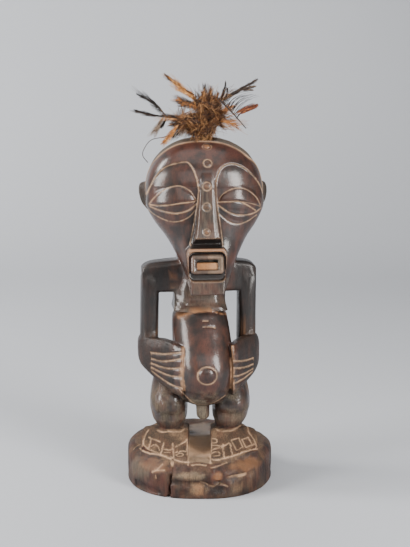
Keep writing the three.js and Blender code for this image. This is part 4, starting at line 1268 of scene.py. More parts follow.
class Weathering:
    """Works out where dust, black patina, bare wood and polish lie on the carved skin, and where shade,
    sheen and light are painted on it.
    """

    def __init__(self, skin: Skin) -> None:
        """Keeps the skin.

        Args:
            skin: The carved skin.
        """
        self.skin = skin
        self.masks = {mask: np.zeros(len(skin.points)) for mask in Mask}

    def lay(self, mask: Mask, amount: Array | float, where: Array | bool = True) -> None:
        """Lays an amount over what a mask already holds.

        Args:
            mask: What is laid.
            amount: How much, for each vertex.
            where: The vertices that take it.
        """
        self.masks[mask] = np.maximum(self.masks[mask], clamp(np.where(where, amount, 0)))

    def spot(self, mask: Mask, centre: Point, size: Point, amount: float, ragged: float) -> None:
        """Lays a soft patch with a ragged edge.

        Args:
            mask: What it is a patch of.
            centre: Its middle.
            size: How far it reaches along x, y and z.
            amount: How strong it is in the middle.
            ragged: How far its edge wanders, as a share of its size.
        """
        reach = np.linalg.norm((self.skin.points - centre) / size, axis=1)
        reach = reach + ragged * cloud(self.skin.points, 5.0, int(sum(centre)) % 40)
        self.lay(mask, amount * ramp(-reach, -1.0, -0.55))

    def curvature(self) -> None:
        """Marks worn edges and dirty hollows from how the skin bends."""
        mesh = self.skin.piece.data
        ends = np.empty(len(mesh.edges) * 2, np.int32)
        mesh.edges.foreach_get("vertices", ends)
        a, b = ends.reshape(-1, 2).T
        points, normals = self.skin.points, self.skin.normals
        run = points[b] - points[a]
        length = np.linalg.norm(run, axis=1) + 1e-6
        count = np.bincount(a, minlength=len(points)) + np.bincount(b, minlength=len(points))
        at_a = -(run * normals[a]).sum(1) / length**2
        at_b = (run * normals[b]).sum(1) / length**2
        bend = np.bincount(a, at_a, len(points)) + np.bincount(b, at_b, len(points))
        bend = bend / np.maximum(count, 1)
        for _ in range(3):
            near = np.bincount(a, bend[b], len(points)) + np.bincount(b, bend[a], len(points))
            bend = 0.5 * bend + 0.5 * near / np.maximum(count, 1)
        self.lay(Mask.EDGE, ramp(bend, 0.04, 0.2))
        self.lay(Mask.PIT, ramp(-bend, 0.03, 0.2))

    def lines(self) -> None:
        """Lays pale dust in the carved lines, and wears the studs and the hairline bare."""
        skin = self.skin
        points = skin.points
        self.lay(Mask.PALE, skin.lines()[1])
        for stud in STUDS:
            near, distance = skin.stud(stud)
            uneven = 0.8 + 0.5 * noise(points[near], 2.0, 31)
            ring, boss = np.zeros(len(points)), np.zeros(len(points))
            ring[near] = 0.8 * stud.pale_ring * ridge(distance - stud.radius, 1.25) * uneven
            inside = ramp(-distance, -0.8 * stud.radius, -0.4 * stud.radius)
            boss[near] = 0.7 * stud.bare_boss * inside * uneven
            self.lay(Mask.PALE, ring)
            self.lay(Mask.RAW, boss)
        x, y, z = skin.head.T
        behind = skin.behind_hairline
        crest = ramp(z, 286, 296) * skin.on_head * (0.8 + 0.35 * noise(points, 6, 33))
        self.lay(Mask.PALE, 0.7 * crest * ridge(behind, 3.2))
        on_ears = np.abs(x) > 54.5
        band = skin.on_head & (z > 262) & ((behind > 1.8) | on_ears)
        self.lay(Mask.GREY, np.where(on_ears, 0.12, 0.62 + 0.25 * cloud(points, 8, 34)), band)
        self.lay(Mask.SOOT_AND_SHADE, 0.35, band & on_ears)
        uneven = 0.8 + 0.5 * noise(points, 4, 35)
        self.lay(Mask.PALE, 0.7 * ridge(skin.from_navel_ring, 1.3) * uneven, skin.on_belly)

    def face(self) -> None:
        """Lays the finish of the head: dark red-brown and polished, with bare wood in the mouth, painted
        shade under the nose and chin and in the mouth's recess, and painted sheen on the nose, chin and
        lips.
        """
        skin, box = self.skin, Muzzle()
        x, y, z = skin.head.T
        face = skin.on_face
        self.lay(Mask.GLOSS, np.where(face, 0.95, 0.4 * skin.on_head))
        red = 0.5 * ramp(cloud(skin.points, 16, 41), -0.2, 0.7)
        self.lay(Mask.RED, np.maximum(red, 0.6 * ramp(z, 316, 330)), face)
        across = x - box.shift
        mouth = face & (y < -46) & (z < 240)
        recess, lips = box.recess(across, z), box.lips(across, z)
        opening = rounded_box(across, z, 9.7, 221.6, 227.8, 1)
        # painted shade: the recess round the lips and the top of the mouth's opening are laid black
        shade = rounded_box(across, z, 10.2, 227.8, 231.2, 0.5)
        dark = np.maximum(ramp(-recess, 0.2, 1.0) * ramp(lips, -0.3, 0.4), ramp(-shade, -0.3, 0.3))
        self.lay(Mask.SOOT_AND_SHADE, dark, mouth)
        self.lay(Mask.RAW, 0.95 * ramp(-opening, -0.3, 0.4), mouth)
        self.lay(Mask.PALE, 0.25 * ramp(-opening, -0.3, 0.4) * ramp(across, -2, 8), mouth)
        # painted highlight: grey and pale on the lips, stronger on the right and along their crown
        tube = face & (y < -46) & (lips < 0) & (opening > 0.3)
        self.lay(Mask.GREY, np.where(across > 2, 0.5, 0.15), tube)
        painted_lip_highlight = np.where(across > 0, 0.22, 0.08) * ridge(lips + 2.4, 2.4)
        self.lay(Mask.PALE, painted_lip_highlight * (0.8 + 0.4 * noise(skin.points, 3, 42)), mouth)
        frame_side = 0.2 * ramp(recess, 0.1, 0.6) * ramp(z, 216, 232)
        frame_side = frame_side + 0.18 * ridge(recess - 0.4, 1.1) * (z < 214)
        self.lay(Mask.PALE, frame_side, mouth)
        band = ramp(z, 237.5, 238.2) * ramp(-z, -241.2, -240.4) * ramp(-np.abs(across), -18.5, -16.5)
        band = band * (face & (y < -47))
        self.lay(Mask.RAW, 0.5 * band)
        self.lay(Mask.PALE, 0.15 * band)
        half_width = mix(box.half_width_bottom, box.half_width_top, clamp((z - CHIN_BOTTOM) / 49))
        corner = np.abs(np.abs(across) - half_width)
        self.lay(Mask.PALE, 0.14 * ridge(corner, 1.1), face & (z < 236) & (z > 212) & (y < -44))
        on_nose = np.abs(x) < mix(13.5, 7.5, clamp((z - 250) / 45))
        nose_front = face & (z > 250) & (z < 300) & (y < -46) & on_nose
        # painted sheen: grey streaks on the front of the nose and on the chin
        self.lay(Mask.GREY, 0.22 + 0.3 * cloud(skin.points, (2, 2, 14), 43), nose_front)
        self.lay(Mask.GREY, 0.16 + 0.4 * cloud(skin.points, (2, 2, 12), 44), face & (z < 211))
        # painted shadow: a black band on the neck just below the chin
        under_chin = (z < 195.5) & (z > 187) & (np.abs(across) < 17.5) & (y < -22)
        self.lay(Mask.SOOT_AND_SHADE, ramp(z, 187.5, 191), under_chin)
        # painted shadow: the underside of the nose is laid black
        under_nose = face & (z < 249.7) & (z > 241.2) & (np.abs(x) < 18.5) & (y < -38)
        self.lay(Mask.SOOT_AND_SHADE, 1.0, under_nose)
        self.lay(Mask.DUST, 0.5 * ridge(z - 250.6, 1.6), face & (y < -44) & (z > 241) & (z < 252))

    def body(self) -> None:
        """Lays the finish of the arms, hands and belly, with painted sheen on the neck."""
        skin = self.skin
        points = skin.points
        x, y, z = skin.upper.T
        body = ~skin.on_head & (z > 100)
        arms = body & (np.abs(x) > 31) & (z > 146)
        hands = body & ~skin.on_belly & (z < 149) & (np.abs(x) > 20)
        neck = body & (z > 174) & (np.abs(x + 2.8) < 28)
        self.lay(Mask.SOOT_AND_SHADE, 0.9 + 0.15 * cloud(points, 12, 51), arms)
        self.lay(Mask.SOOT_AND_SHADE, 0.6 + 0.25 * cloud(points, 9, 52), hands)
        # painted sheen: grey streaks on the front of the neck, with dark streaks between them
        self.lay(Mask.GREY, 0.2 + 0.5 * cloud(points, (2, 2, 14), 53), neck & (z < 200))
        self.lay(Mask.SOOT_AND_SHADE, 0.1 - 0.5 * cloud(points, (2, 2, 14), 53), neck & (z < 200))
        # darker towards the top and towards the bottom of the belly
        self.lay(Mask.SOOT_AND_SHADE, 0.55 * ramp(z, 150, 172) + 0.5 * ramp(-z, -100, -88), skin.on_belly)
        self.lay(Mask.GLOSS, np.where(hands, 0.4, 0.6), body)
        self.lay(Mask.GLOSS, 0.85, neck | skin.on_belly)
        self.lay(Mask.RED, 0.45 * ramp(-np.abs(x - 2), -16, -3), skin.on_belly)
        ragged = 0.6 * noise(points, 2.6, 54)
        arc = ((-26.5, 168.6), (-20, 172), (-13, 174.3), (-0.2, 175.3), (12, 173.6), (22.5, 169.6))
        seam = distance_to_path(skin.upper[:, [0, 2]], rounded_path(arc)) + ragged
        self.lay(Mask.RAW, 0.7 * ramp(-seam, -1.1, 0.0), body & (y < -14) & (np.abs(x) < 30))
        self.lay(Mask.RAW, 0.35 * ramp(-np.hypot(x + 22, (z - 171) * 1.6), -9, -2), body & (y < -14))
        strip = body & (z > 190) & (z < 222) & (y < 0)
        self.lay(Mask.RAW, 0.22 * ridge(x + 30.8 + ragged, 2.4), strip)
        creases = ridge(z - 149.2 + 1.2 * noise(points, 5, 55), 3.6) * (0.5 + 0.7 * noise(points, 3, 56))
        self.lay(Mask.RAW, 0.42 * creases, body & (np.abs(x) > 31) & (y < -4))
        for hand in HANDS:
            tips = Cut(hand.tip_edge(), 3.4)
            near, distance = skin.follow(tips, skin.upper, body)
            bare = np.zeros(len(points))
            uneven = 0.7 + 0.4 * noise(points[near], 3, 61)
            bare[near] = ramp(-distance - 0.6 * ragged[near], -3.0, -1.2) * uneven
            self.lay(Mask.RAW, 0.6 * bare)
            self.lay(Mask.PALE, 0.4 * bare)
        low_on_belly = tuple(on_upper_body(np.array(((-22.0, -50, 96),)))[0])
        self.spot(Mask.RED, low_on_belly, (7, 9, 4.5), 0.8, 0.3)

    def ground(self) -> None:
        """Lays the finish of the legs, feet and base: dry, dusty and scarred, with painted light on the
        strip between the feet.
        """
        skin = self.skin
        points = skin.points
        x, y, z = points.T
        low = ramp(-z, -106, -94)
        self.masks[Mask.GLOSS] *= 1 - low
        mottle = cloud(points, 7, 71)
        self.lay(Mask.GREY, 0.75 * low * ramp(z, 54, 64) * ramp(mottle, -0.45, 0.7))
        self.lay(Mask.SOOT_AND_SHADE, 0.6 * low * ramp(z, 54, 64) * ramp(cloud(points, 6, 77), 0.1, 0.6))
        self.lay(Mask.GLOSS, 0.95 * low * ramp(z, 58, 70) * ramp(-mottle, -0.6, 0.4))
        member = (np.abs(x + 1.6) < 8.5) & (y < -22) & (z > 66) & (z < 92)
        self.lay(Mask.GREY, 0.9, member)
        feet = (z > BASE_TOP - 3) & (z < 60) & (skin.normals[:, 2] > 0.2)
        legs = (z > 57) | ((z > 44) & (skin.normals[:, 2] < 0.3))
        over_feet = (np.abs(x) > 10.6) & (np.hypot(x, y) < 66) & (y < 32)
        self.lay(Mask.DUST, 0.54 + 0.3 * cloud(points, 5, 72), feet & over_feet & ~legs)
        inner = (z < BASE_TOP + 1) & (z > 29) & (y > -63) & (np.abs(x) < 11.2) & (skin.normals[:, 2] > 0.2)
        # painted light: the middle of the strip between the feet is laid pale where the legs and belly shade
        # it
        lit = ramp(-y, -24, -8) * ramp(y, -54, -40)
        self.lay(Mask.GREY, 0.6, inner)
        self.lay(Mask.GLOSS, 1.0, inner & (y > -50))
        self.lay(Mask.DUST, 0.5 * ramp(-y, 40, 54) + 0.25 * cloud(points, 6, 73), inner)
        self.lay(Mask.PALE, 0.12 + 0.8 * lit + 0.15 * cloud(points, (3, 12, 12), 78), inner)
        self.lay(Mask.PALE, 0.7 * ridge(np.abs(x) - 10.6, 1.2), inner & (y < 8))
        toes = feet & over_feet & ~legs & (np.hypot(x, y) > 46) & (np.hypot(x, y) < 63) & (y < -16)
        self.lay(Mask.SOOT_AND_SHADE, 0.45 + 0.5 * cloud(points, 3.5, 80), toes)
        self.masks[Mask.DUST] *= np.where(toes, 0.45, 1)
        plate = (z < BASE_TOP + 3) & ~(over_feet & feet)
        self.lay(Mask.DUST, 0.02 + 0.35 * cloud(points, 10, 74) + 0.12 * (skin.normals[:, 2] > 0.4), plate)
        self.lay(Mask.GLOSS, 0.3 + 0.3 * cloud(points, 12, 79), z < BASE_TOP + 3)

    def wall(self) -> None:
        """Lays the patches on the wall and rim of the base."""
        for mask, centre, size, amount, ragged in (
            (Mask.RED, (-44, -58, 14), (18, 20, 14), 0.7, 0.5),
            (Mask.RED, (17, -70, 22), (8, 10, 6.5), 1.0, 0.2),
            (Mask.RAW, (18, -69, 22), (6, 10, 5.5), 0.45, 0.3),
            (Mask.RAW, (-1, -72, 10), (5, 10, 6), 0.35, 0.6),
            (Mask.DUST, (-1, -71, 10), (9, 10, 8), 0.8, 0.5),
            (Mask.RAW, (44, -50, 27), (24, 22, 7), 0.3, 0.4),
            (Mask.RAW, (-46, -54, 28), (24, 22, 6), 0.2, 0.5),
            (Mask.GREY, (-8, -70, 22.5), (20, 9, 4.4), 0.9, 0.3),
            (Mask.DUST, (-8, -70, 23.5), (20, 9, 3), 0.7, 0.3),
            (Mask.SOOT_AND_SHADE, (18, -70, 9.5), (13, 10, 5), 0.8, 0.3),
            (Mask.GREY, (-56, -40, 20), (22, 22, 12), 0.6, 0.4),
            (Mask.PALE, (-26.4, -61, 31.5), (1.8, 7, 3), 0.8, 0.2),
            (Mask.PALE, (38, -64, 21), (14, 9, 1.5), 0.55, 0.7),
            (Mask.DUST, (36, -62, 9), (9, 20, 5), 0.6, 0.5),
        ):
            self.spot(mask, centre, size, amount, ragged)

    def write(self) -> None:
        """Works out every mask and keeps it on the mesh."""
        self.curvature()
        self.lines()
        self.face()
        self.body()
        self.ground()
        self.wall()
        for mask, amount in self.masks.items():
            keep(self.skin.piece.data, mask.value, clamp(amount))


# Finishes


def srgb(red: int, green: int, blue: int) -> Colour:
    """A colour as a screen shows it, from 0 to 255, as the shader's own linear values."""
    levels = (red / 255, green / 255, blue / 255)
    return (*(v / 12.92 if v < 0.04 else ((v + 0.055) / 1.055) ** 2.4 for v in levels), 1.0)


class Sheet:
    """A material's nodes, with short ways to add and join them."""

    def __init__(self, name: str) -> None:
        """Starts a material with only its shader.

        Args:
            name: The material's name.
        """
        self.material = bpy.data.materials.new(name)
        self.material.use_nodes = True
        self.tree = self.material.node_tree
        self.shader = self.tree.nodes["Principled BSDF"]

    def node(self, kind: str, **settings: object) -> bpy.types.Node:
        """Adds a node and sets its options."""
        made = self.tree.nodes.new(kind)
        for name, value in settings.items():
            setattr(made, name, value)
        return made

    def join(self, source: Socket, target: Socket) -> None:
        """Joins an output to an input."""
        self.tree.links.new(source, target)

    def put(self, socket: Socket, value: object) -> None:
        """Joins an output to an input, or sets the input to a plain value."""
        if isinstance(value, Socket):
            self.join(value, socket)
        else:
            socket.default_value = value

    def dress(self, name: str, value: object) -> None:
        """Gives the shader's input of that name a value or an output."""
        self.put(self.shader.inputs[name], value)

    def attribute(self, name: str) -> Socket:
        """Reads one of the piece's own masks."""
        return self.node("ShaderNodeAttribute", attribute_name=name).outputs["Fac"]

    def noise(self, size: Point, detail: float = 3.0, rough: float = 0.55) -> Socket:
        """Noise in the piece's own space.

        Args:
            size: The size of its blotches along x, y and z, in millimetres.
            detail: How many finer sizes lie over it.
            rough: How strong those are.

        Returns:
            A value round 0.5.
        """
        place = self.node("ShaderNodeTexCoord").outputs["Object"]
        mapping = self.node("ShaderNodeMapping")
        mapping.inputs["Scale"].default_value = [1 / (s * MM) for s in size]
        self.join(place, mapping.inputs["Vector"])
        made = self.node("ShaderNodeTexNoise")
        made.inputs["Scale"].default_value = 1.0
        made.inputs["Detail"].default_value = detail
        made.inputs["Roughness"].default_value = rough
        self.join(mapping.outputs["Vector"], made.inputs["Vector"])
        return made.outputs["Fac"]

    def math(self, operation: str, *values: object) -> Socket:
        """A sum, product or other plain operation."""
        made = self.node("ShaderNodeMath", operation=operation)
        for socket, value in zip(made.inputs, values):
            self.put(socket, value)
        return made.outputs[0]

    def times(self, a: object, b: object) -> Socket:
        """The product of two values."""
        return self.math("MULTIPLY", a, b)

    def fit(self, value: object, *ends: float) -> Socket:
        """Maps a value between two ends to 0 and 1, or to two further ends, and holds it there."""
        made = self.node("ShaderNodeMapRange", interpolation_type="SMOOTHSTEP")
        for socket, given in zip(made.inputs, (value, *ends)):
            self.put(socket, given)
        return made.outputs["Result"]

    def blend(self, a: object, b: object, share: object) -> Socket:
        """A colour between a and b."""
        made = self.node("ShaderNodeMix", data_type="RGBA")
        self.put(made.inputs["Factor"], share)
        self.put(made.inputs[6], a)
        self.put(made.inputs[7], b)
        return made.outputs[2]

    def bump(self, height: object, distance: float, strength: float = 1.0) -> None:
        """Adds a bump to the shader. distance is in millimetres."""
        made = self.node("ShaderNodeBump")
        made.inputs["Distance"].default_value = distance * MM
        made.inputs["Strength"].default_value = strength
        self.put(made.inputs["Height"], height)
        for name in ("Normal", "Coat Normal"):
            self.dress(name, made.outputs["Normal"])


@dataclass(frozen=True)
class CarvedWood:
    """Dark hardwood with a patina: polished where hands held it, dusty and dry low down."""

    deep: Colour = srgb(25, 14, 10)
    warm: Colour = srgb(66, 37, 25)
    red: Colour = srgb(72, 36, 27)
    soot_and_shade: Colour = srgb(15, 12, 11)
    grey: Colour = srgb(112, 102, 86)
    dust: Colour = srgb(134, 108, 82)
    pale: Colour = srgb(200, 164, 130)
    raw: Colour = srgb(158, 110, 72)
    dirt: Colour = srgb(20, 14, 12)

    def make(self) -> bpy.types.Material:
        """Builds the material.

        Returns:
            The material, which reads the skin's masks.
        """
        sheet = Sheet("Carved hardwood")
        streak = sheet.noise((1.3, 1.3, 22), 4, 0.6)
        blotch = sheet.noise((9, 9, 16), 3, 0.55)
        speck = sheet.noise((0.9, 0.9, 1.4), 4, 0.65)
        masks = {mask: sheet.attribute(mask.value) for mask in Mask}
        dusty = sheet.times(masks[Mask.DUST], sheet.fit(speck, 0.3, 0.62, 0.35, 1))
        chalk_and_light = sheet.times(masks[Mask.PALE], sheet.fit(speck, 0.22, 0.5, 0.55, 1))
        colour = self.deep
        for over, share in (
            (self.warm, sheet.fit(blotch, 0.32, 0.72)),
            (self.red, sheet.times(masks[Mask.RED], sheet.fit(blotch, 0.2, 0.6))),
            (self.soot_and_shade, sheet.times(masks[Mask.SOOT_AND_SHADE], sheet.fit(streak, 0.75, 0.35, 0.72, 1))),
            (self.grey, sheet.times(masks[Mask.GREY], sheet.fit(speck, 0.25, 0.7, 0.35, 0.95))),
            (self.dust, dusty),
            (self.dirt, sheet.fit(streak, 0.54, 0.36, 0, 0.4)),
            (self.dirt, sheet.times(masks[Mask.PIT], 0.5)),
            (self.warm, sheet.times(masks[Mask.EDGE], sheet.fit(speck, 0.4, 0.65, 0.05, 0.45))),
            (self.raw, sheet.times(masks[Mask.RAW], sheet.fit(speck, 0.25, 0.55, 0.6, 1))),
            (self.pale, chalk_and_light),
        ):
            colour = sheet.blend(colour, over, share)
        sheet.dress("Base Color", colour)
        matte = sheet.math("MAXIMUM", chalk_and_light, sheet.math("MAXIMUM", dusty, masks[Mask.RAW]))
        polish = sheet.times(masks[Mask.GLOSS], sheet.math("SUBTRACT", 1.0, matte))
        polish = sheet.times(polish, sheet.fit(masks[Mask.GREY], 0.0, 1.0, 1.0, 0.55))
        rough = sheet.fit(polish, 0.0, 1.0, 0.85, 0.5)
        rough = sheet.math("ADD", rough, sheet.fit(speck, 0.35, 0.7, -0.04, 0.14))
        sheet.dress("Roughness", rough)
        sheet.dress("Specular IOR Level", 0.34)
        sheet.dress("Coat Weight", sheet.times(polish, 0.72))
        sheet.dress("Coat Roughness", 0.12)
        dents = sheet.noise((2.1, 2.1, 3.4), 4, 0.7)
        height = sheet.math("MULTIPLY_ADD", streak, 0.4, sheet.math("MULTIPLY_ADD", speck, 0.5, dents))
        dry = sheet.fit(polish, 0.0, 0.8, 1.0, 0.12)
        sheet.bump(sheet.times(height, dry), 0.9, 0.8)
        return sheet.material


@dataclass(frozen=True)
class Plumage:
    """Dry feather: each strand has its own tone, and dark bars may cross it."""

    name: str
    slot: str
    dark: Colour
    middle: Colour
    light: Colour
    sheen: float

    def make(self) -> bpy.types.Material:
        """Builds the material.

        Returns:
            The material, which reads each strand's tone.
        """
        sheet = Sheet(self.name)
        tone = sheet.attribute("tone")
        mottle = sheet.noise((2.2, 2.2, 2.2), 3, 0.6)
        mixed = sheet.math("ADD", tone, sheet.fit(mottle, 0.3, 0.7, -0.22, 0.22))
        low = sheet.blend(self.dark, self.middle, sheet.fit(mixed, 0.0, 0.5))
        colour = sheet.blend(low, self.light, sheet.fit(mixed, 0.5, 1.0))
        sheet.dress("Base Color", colour)
        rough = sheet.fit(mottle, 0.3, 0.7, 0.55, 0.8)
        sheet.dress("Roughness", rough)
        sheet.dress("Sheen Weight", self.sheen)
        sheet.dress("Specular IOR Level", 0.3)
        return sheet.material


DOWN = Plumage("Matted down", "down", srgb(24, 15, 10), srgb(106, 64, 30), srgb(200, 150, 98), 0.08)
TAN = Plumage("Tan feather", "feather_brown", srgb(48, 30, 18), srgb(156, 98, 44), srgb(222, 174, 112), 0.08)
DARK = Plumage("Dark feather", "feather_dark", srgb(16, 12, 11), srgb(50, 38, 32), srgb(146, 126, 108), 0.0)
RUST = Plumage("Rust feather", "feather_rust", srgb(40, 24, 16), srgb(132, 64, 36), srgb(196, 128, 82), 0.05)


# Feathers


@dataclass
class Strands:
    """Fine round strands that taper, gathered for one piece."""

    name: str
    paths: list[Array] = field(default_factory=list)
    radii: list[Array] = field(default_factory=list)
    tones: list[Array] = field(default_factory=list)

    def add(self, path: Array, thick: float, thin: float, tone: Array | float) -> None:
        """Adds one strand.

        Args:
            path: Its points, from root to tip, in millimetres.
            thick: Its radius at the root.
            thin: Its radius at the tip.
            tone: Its tone, or a tone for each point, from dark at 0 to light at 1.
        """
        low, high = (np.array(corner) / MM for corner in CAD_BOX)
        self.paths.append(np.clip(path, low + 0.4, high - 0.4))
        self.radii.append(np.linspace(thick, thin, len(path)))
        self.tones.append(np.broadcast_to(tone, len(path)).astype(float))

    def make(self) -> bpy.types.Object:
        """Makes the strands one mesh piece.

        Returns:
            The piece, in metres, with its tones as an attribute.
        """
        curve = bpy.data.curves.new(self.name, "CURVE")
        curve.dimensions = "3D"
        curve.bevel_depth = 1.0
        curve.bevel_resolution = 0
        curve.use_fill_caps = True
        for path, radii in zip(self.paths, self.radii):
            spline = curve.splines.new("POLY")
            spline.points.add(len(path) - 1)
            four = np.concatenate([path * MM, np.ones((len(path), 1))], axis=1)
            spline.points.foreach_set("co", four.astype(np.float32).ravel())
            spline.points.foreach_set("radius", (radii * MM).astype(np.float32))
        holder = shown(self.name + " curve", curve)
        mesh = evaluated(holder)
        bpy.data.objects.remove(holder)
        bpy.data.curves.remove(curve)
        mesh.name = self.name
        corners = len(mesh.vertices) // sum(len(path) for path in self.paths)
        tones = np.repeat(np.concatenate(self.tones), corners)
        keep(mesh, "tone", np.resize(tones, len(mesh.vertices)))
        mesh.shade_smooth()
        return shown(self.name, mesh)


@dataclass(frozen=True)
class Vane:
    """A feather or a part of one: a bowed shaft with barbs on both sides, clumped into pointed locks."""

    root: Point
    tip: Point
    width: float
    bow: float
    slant: float  # degrees between barb and shaft
    tone: float
    tip_tone: float
    ragged: float = 0.3
    spacing: float = 0.4
    bare: float = 0.02  # share of the shaft without barbs
    bars: float = 0.0  # how strong the dark bars are
    shaft: float = 0.45
    loose: float = 0.0  # share of barbs that stand off singly
    face: Point = (0.0, -1.0, 0.0)  # the way the flat of the vane faces

    def build(self, strands: Strands, dice: np.random.Generator) -> None:
        """Adds the shaft and the barbs.

        Args:
            strands: The piece that they belong to.
            dice: The source of their unevenness.
        """
        root, tip = np.array(self.root, float), np.array(self.tip, float)
        run = tip - root
        length = np.linalg.norm(run)
        axis = run / length
        across = unit(np.cross(np.array(self.face), axis))
        normal = np.cross(axis, across)
        steps = np.linspace(0, 1, 9)

        def shaft_at(share: Array) -> Array:
            """Points on the bowed shaft."""
            share = np.asarray(share, float)[..., None]
            return root + run * share + across * self.bow * np.sin(math.pi * share)

        strands.add(shaft_at(steps), self.shaft, 0.12, 0.35 + 0.4 * self.tone)
        count = max(4, int(length * (1 - self.bare) / self.spacing))
        lock_size = 5
        for side in SIDES:
            lean, reach, lift = 0.0, 1.0, 0.0
            for i in range(count):
                share = self.bare + (1 - self.bare) * (i + 0.5) / count
                if i % lock_size == 0:
                    lean, reach = dice.normal(0, 7), 1 + self.ragged * dice.normal()
                    lift = dice.normal(0, 0.12)
                alone = dice.random() < self.loose
                rise = math.sin(math.pi * (0.13 + 0.87 * share)) ** 0.6 if share < 0.999 else 0.0
                size = 0.5 * self.width * rise * max(0.25, reach) * dice.uniform(0.9, 1.08)
                tilt = self.slant * (1.15 - 0.55 * share) + lean + (dice.normal(0, 16) if alone else 0)
                gather = (i % lock_size - (lock_size - 1) / 2) * -0.05
                angle = math.radians(max(6, tilt)) + gather
                out = axis * math.cos(angle) + side * across * math.sin(angle) + normal * lift
                size = size / max(0.3, math.sin(angle))
                start = shaft_at(share)
                t = np.linspace(0, 1, 4)[:, None]
                curl = axis * size * 0.22 * t**2
                path = start + out * size * t + curl + normal * dice.normal(0, 0.12) * t
                tone = mix(self.tone, self.tip_tone, share) + dice.normal(0, 0.07)
                bar = self.bars * (math.sin(share * length * 1.1) > 0.1)
                strands.add(path, 0.2, 0.07, tone * (1 - bar))


@dataclass(frozen=True)
class Fan:
    """Separate curved barbs that stand side by side."""

    roots: tuple[Point, Point]
    tips: tuple[Point, Point]
    count: int
    bow: Point = (0.0, 0.0, 0.0)  # how far the middle of each barb is pushed
    tone: float = 0.15
    thick: float = 0.26
    spread: float = 1.2  # how far the tips stray

    def build(self, strands: Strands, dice: np.random.Generator) -> None:
        """Adds the barbs.

        Args:
            strands: The piece that they belong to.
            dice: The source of their unevenness.
        """
        t = np.linspace(0, 1, 7)[:, None]
        (root_a, root_b), (tip_a, tip_b) = np.array(self.roots, float), np.array(self.tips, float)
        for share in np.linspace(0, 1, self.count):
            root = mix(root_a, root_b, share) + dice.normal(0, 0.25 * self.spread, 3)
            tip = mix(tip_a, tip_b, share) + dice.normal(0, self.spread, 3)
            bow = np.array(self.bow) * dice.uniform(0.6, 1.3)
            path = mix(root, tip, t) + bow * np.sin(math.pi * t)
            strands.add(path, self.thick, 0.07, self.tone + dice.normal(0, 0.08))


@dataclass(frozen=True)
class Lump:
    """A lump of the matted bundle: felted down with locks of barbs lying round it."""

    centre: Point
    size: Point
    locks: int
    tone: float

    def skin(self, x: Array, y: Array, z: Array) -> Array:
        """The points of its felt, a little inside its size."""
        return points_of(x, y, z) * np.array(self.size) * 0.86 + self.centre

    def build(self, strands: Strands, dice: np.random.Generator) -> None:
        """Adds its locks and loose ends.

        Args:
            strands: The piece that they belong to.
            dice: The source of their unevenness.
        """
        t = np.linspace(0, 1, 5)[:, None]
        for _ in range(self.locks):
            way = unit(dice.normal(size=3) * (1, 0.8, 1) - (0, 0.5, 0))
            along = unit(np.cross(way, dice.normal(size=3)))
            aside = np.cross(way, along)
            start = np.array(self.centre) + way * np.array(self.size) * dice.uniform(0.8, 1.0)
            length, turn, lift = dice.uniform(7, 16), dice.normal(0, 4.5), dice.uniform(-0.5, 5.0)
            tone = self.tone + dice.normal(0, 0.3)
            for _ in range(dice.integers(4, 7)):
                slip = dice.normal(0, 0.5, 3)
                reach = length * dice.uniform(0.75, 1.15)
                path = start + slip + along * reach * (t - 0.3) + aside * turn * t**2
                path = path + way * (lift * t**2 - 1.2 * (t - 0.4) ** 2) + slip * t
                strands.add(path, 0.16, 0.06, tone + 0.35 * t[:, 0] * dice.normal() + dice.normal(0, 0.08))
        t = np.linspace(0, 1, 4)[:, None]
        for _ in range(self.locks * 2 // 3):
            way = unit(dice.normal(size=3) * (1, 0.7, 1) + (0, -0.2, 0.3))
            start = np.array(self.centre) + way * np.array(self.size) * 0.8
            bend = dice.normal(0, 2.0, 3)
            path = start + way * dice.uniform(3, 11) * t + 1.4 * bend * t**2
            strands.add(path, 0.17, 0.06, self.tone + dice.normal(0, 0.22))


@dataclass(frozen=True)
class Feather:
    """A feather that stands clear of the bundle, as its node, its finish and its parts."""

    node: str
    plumage: Plumage
    parts: tuple[Vane | Fan, ...]


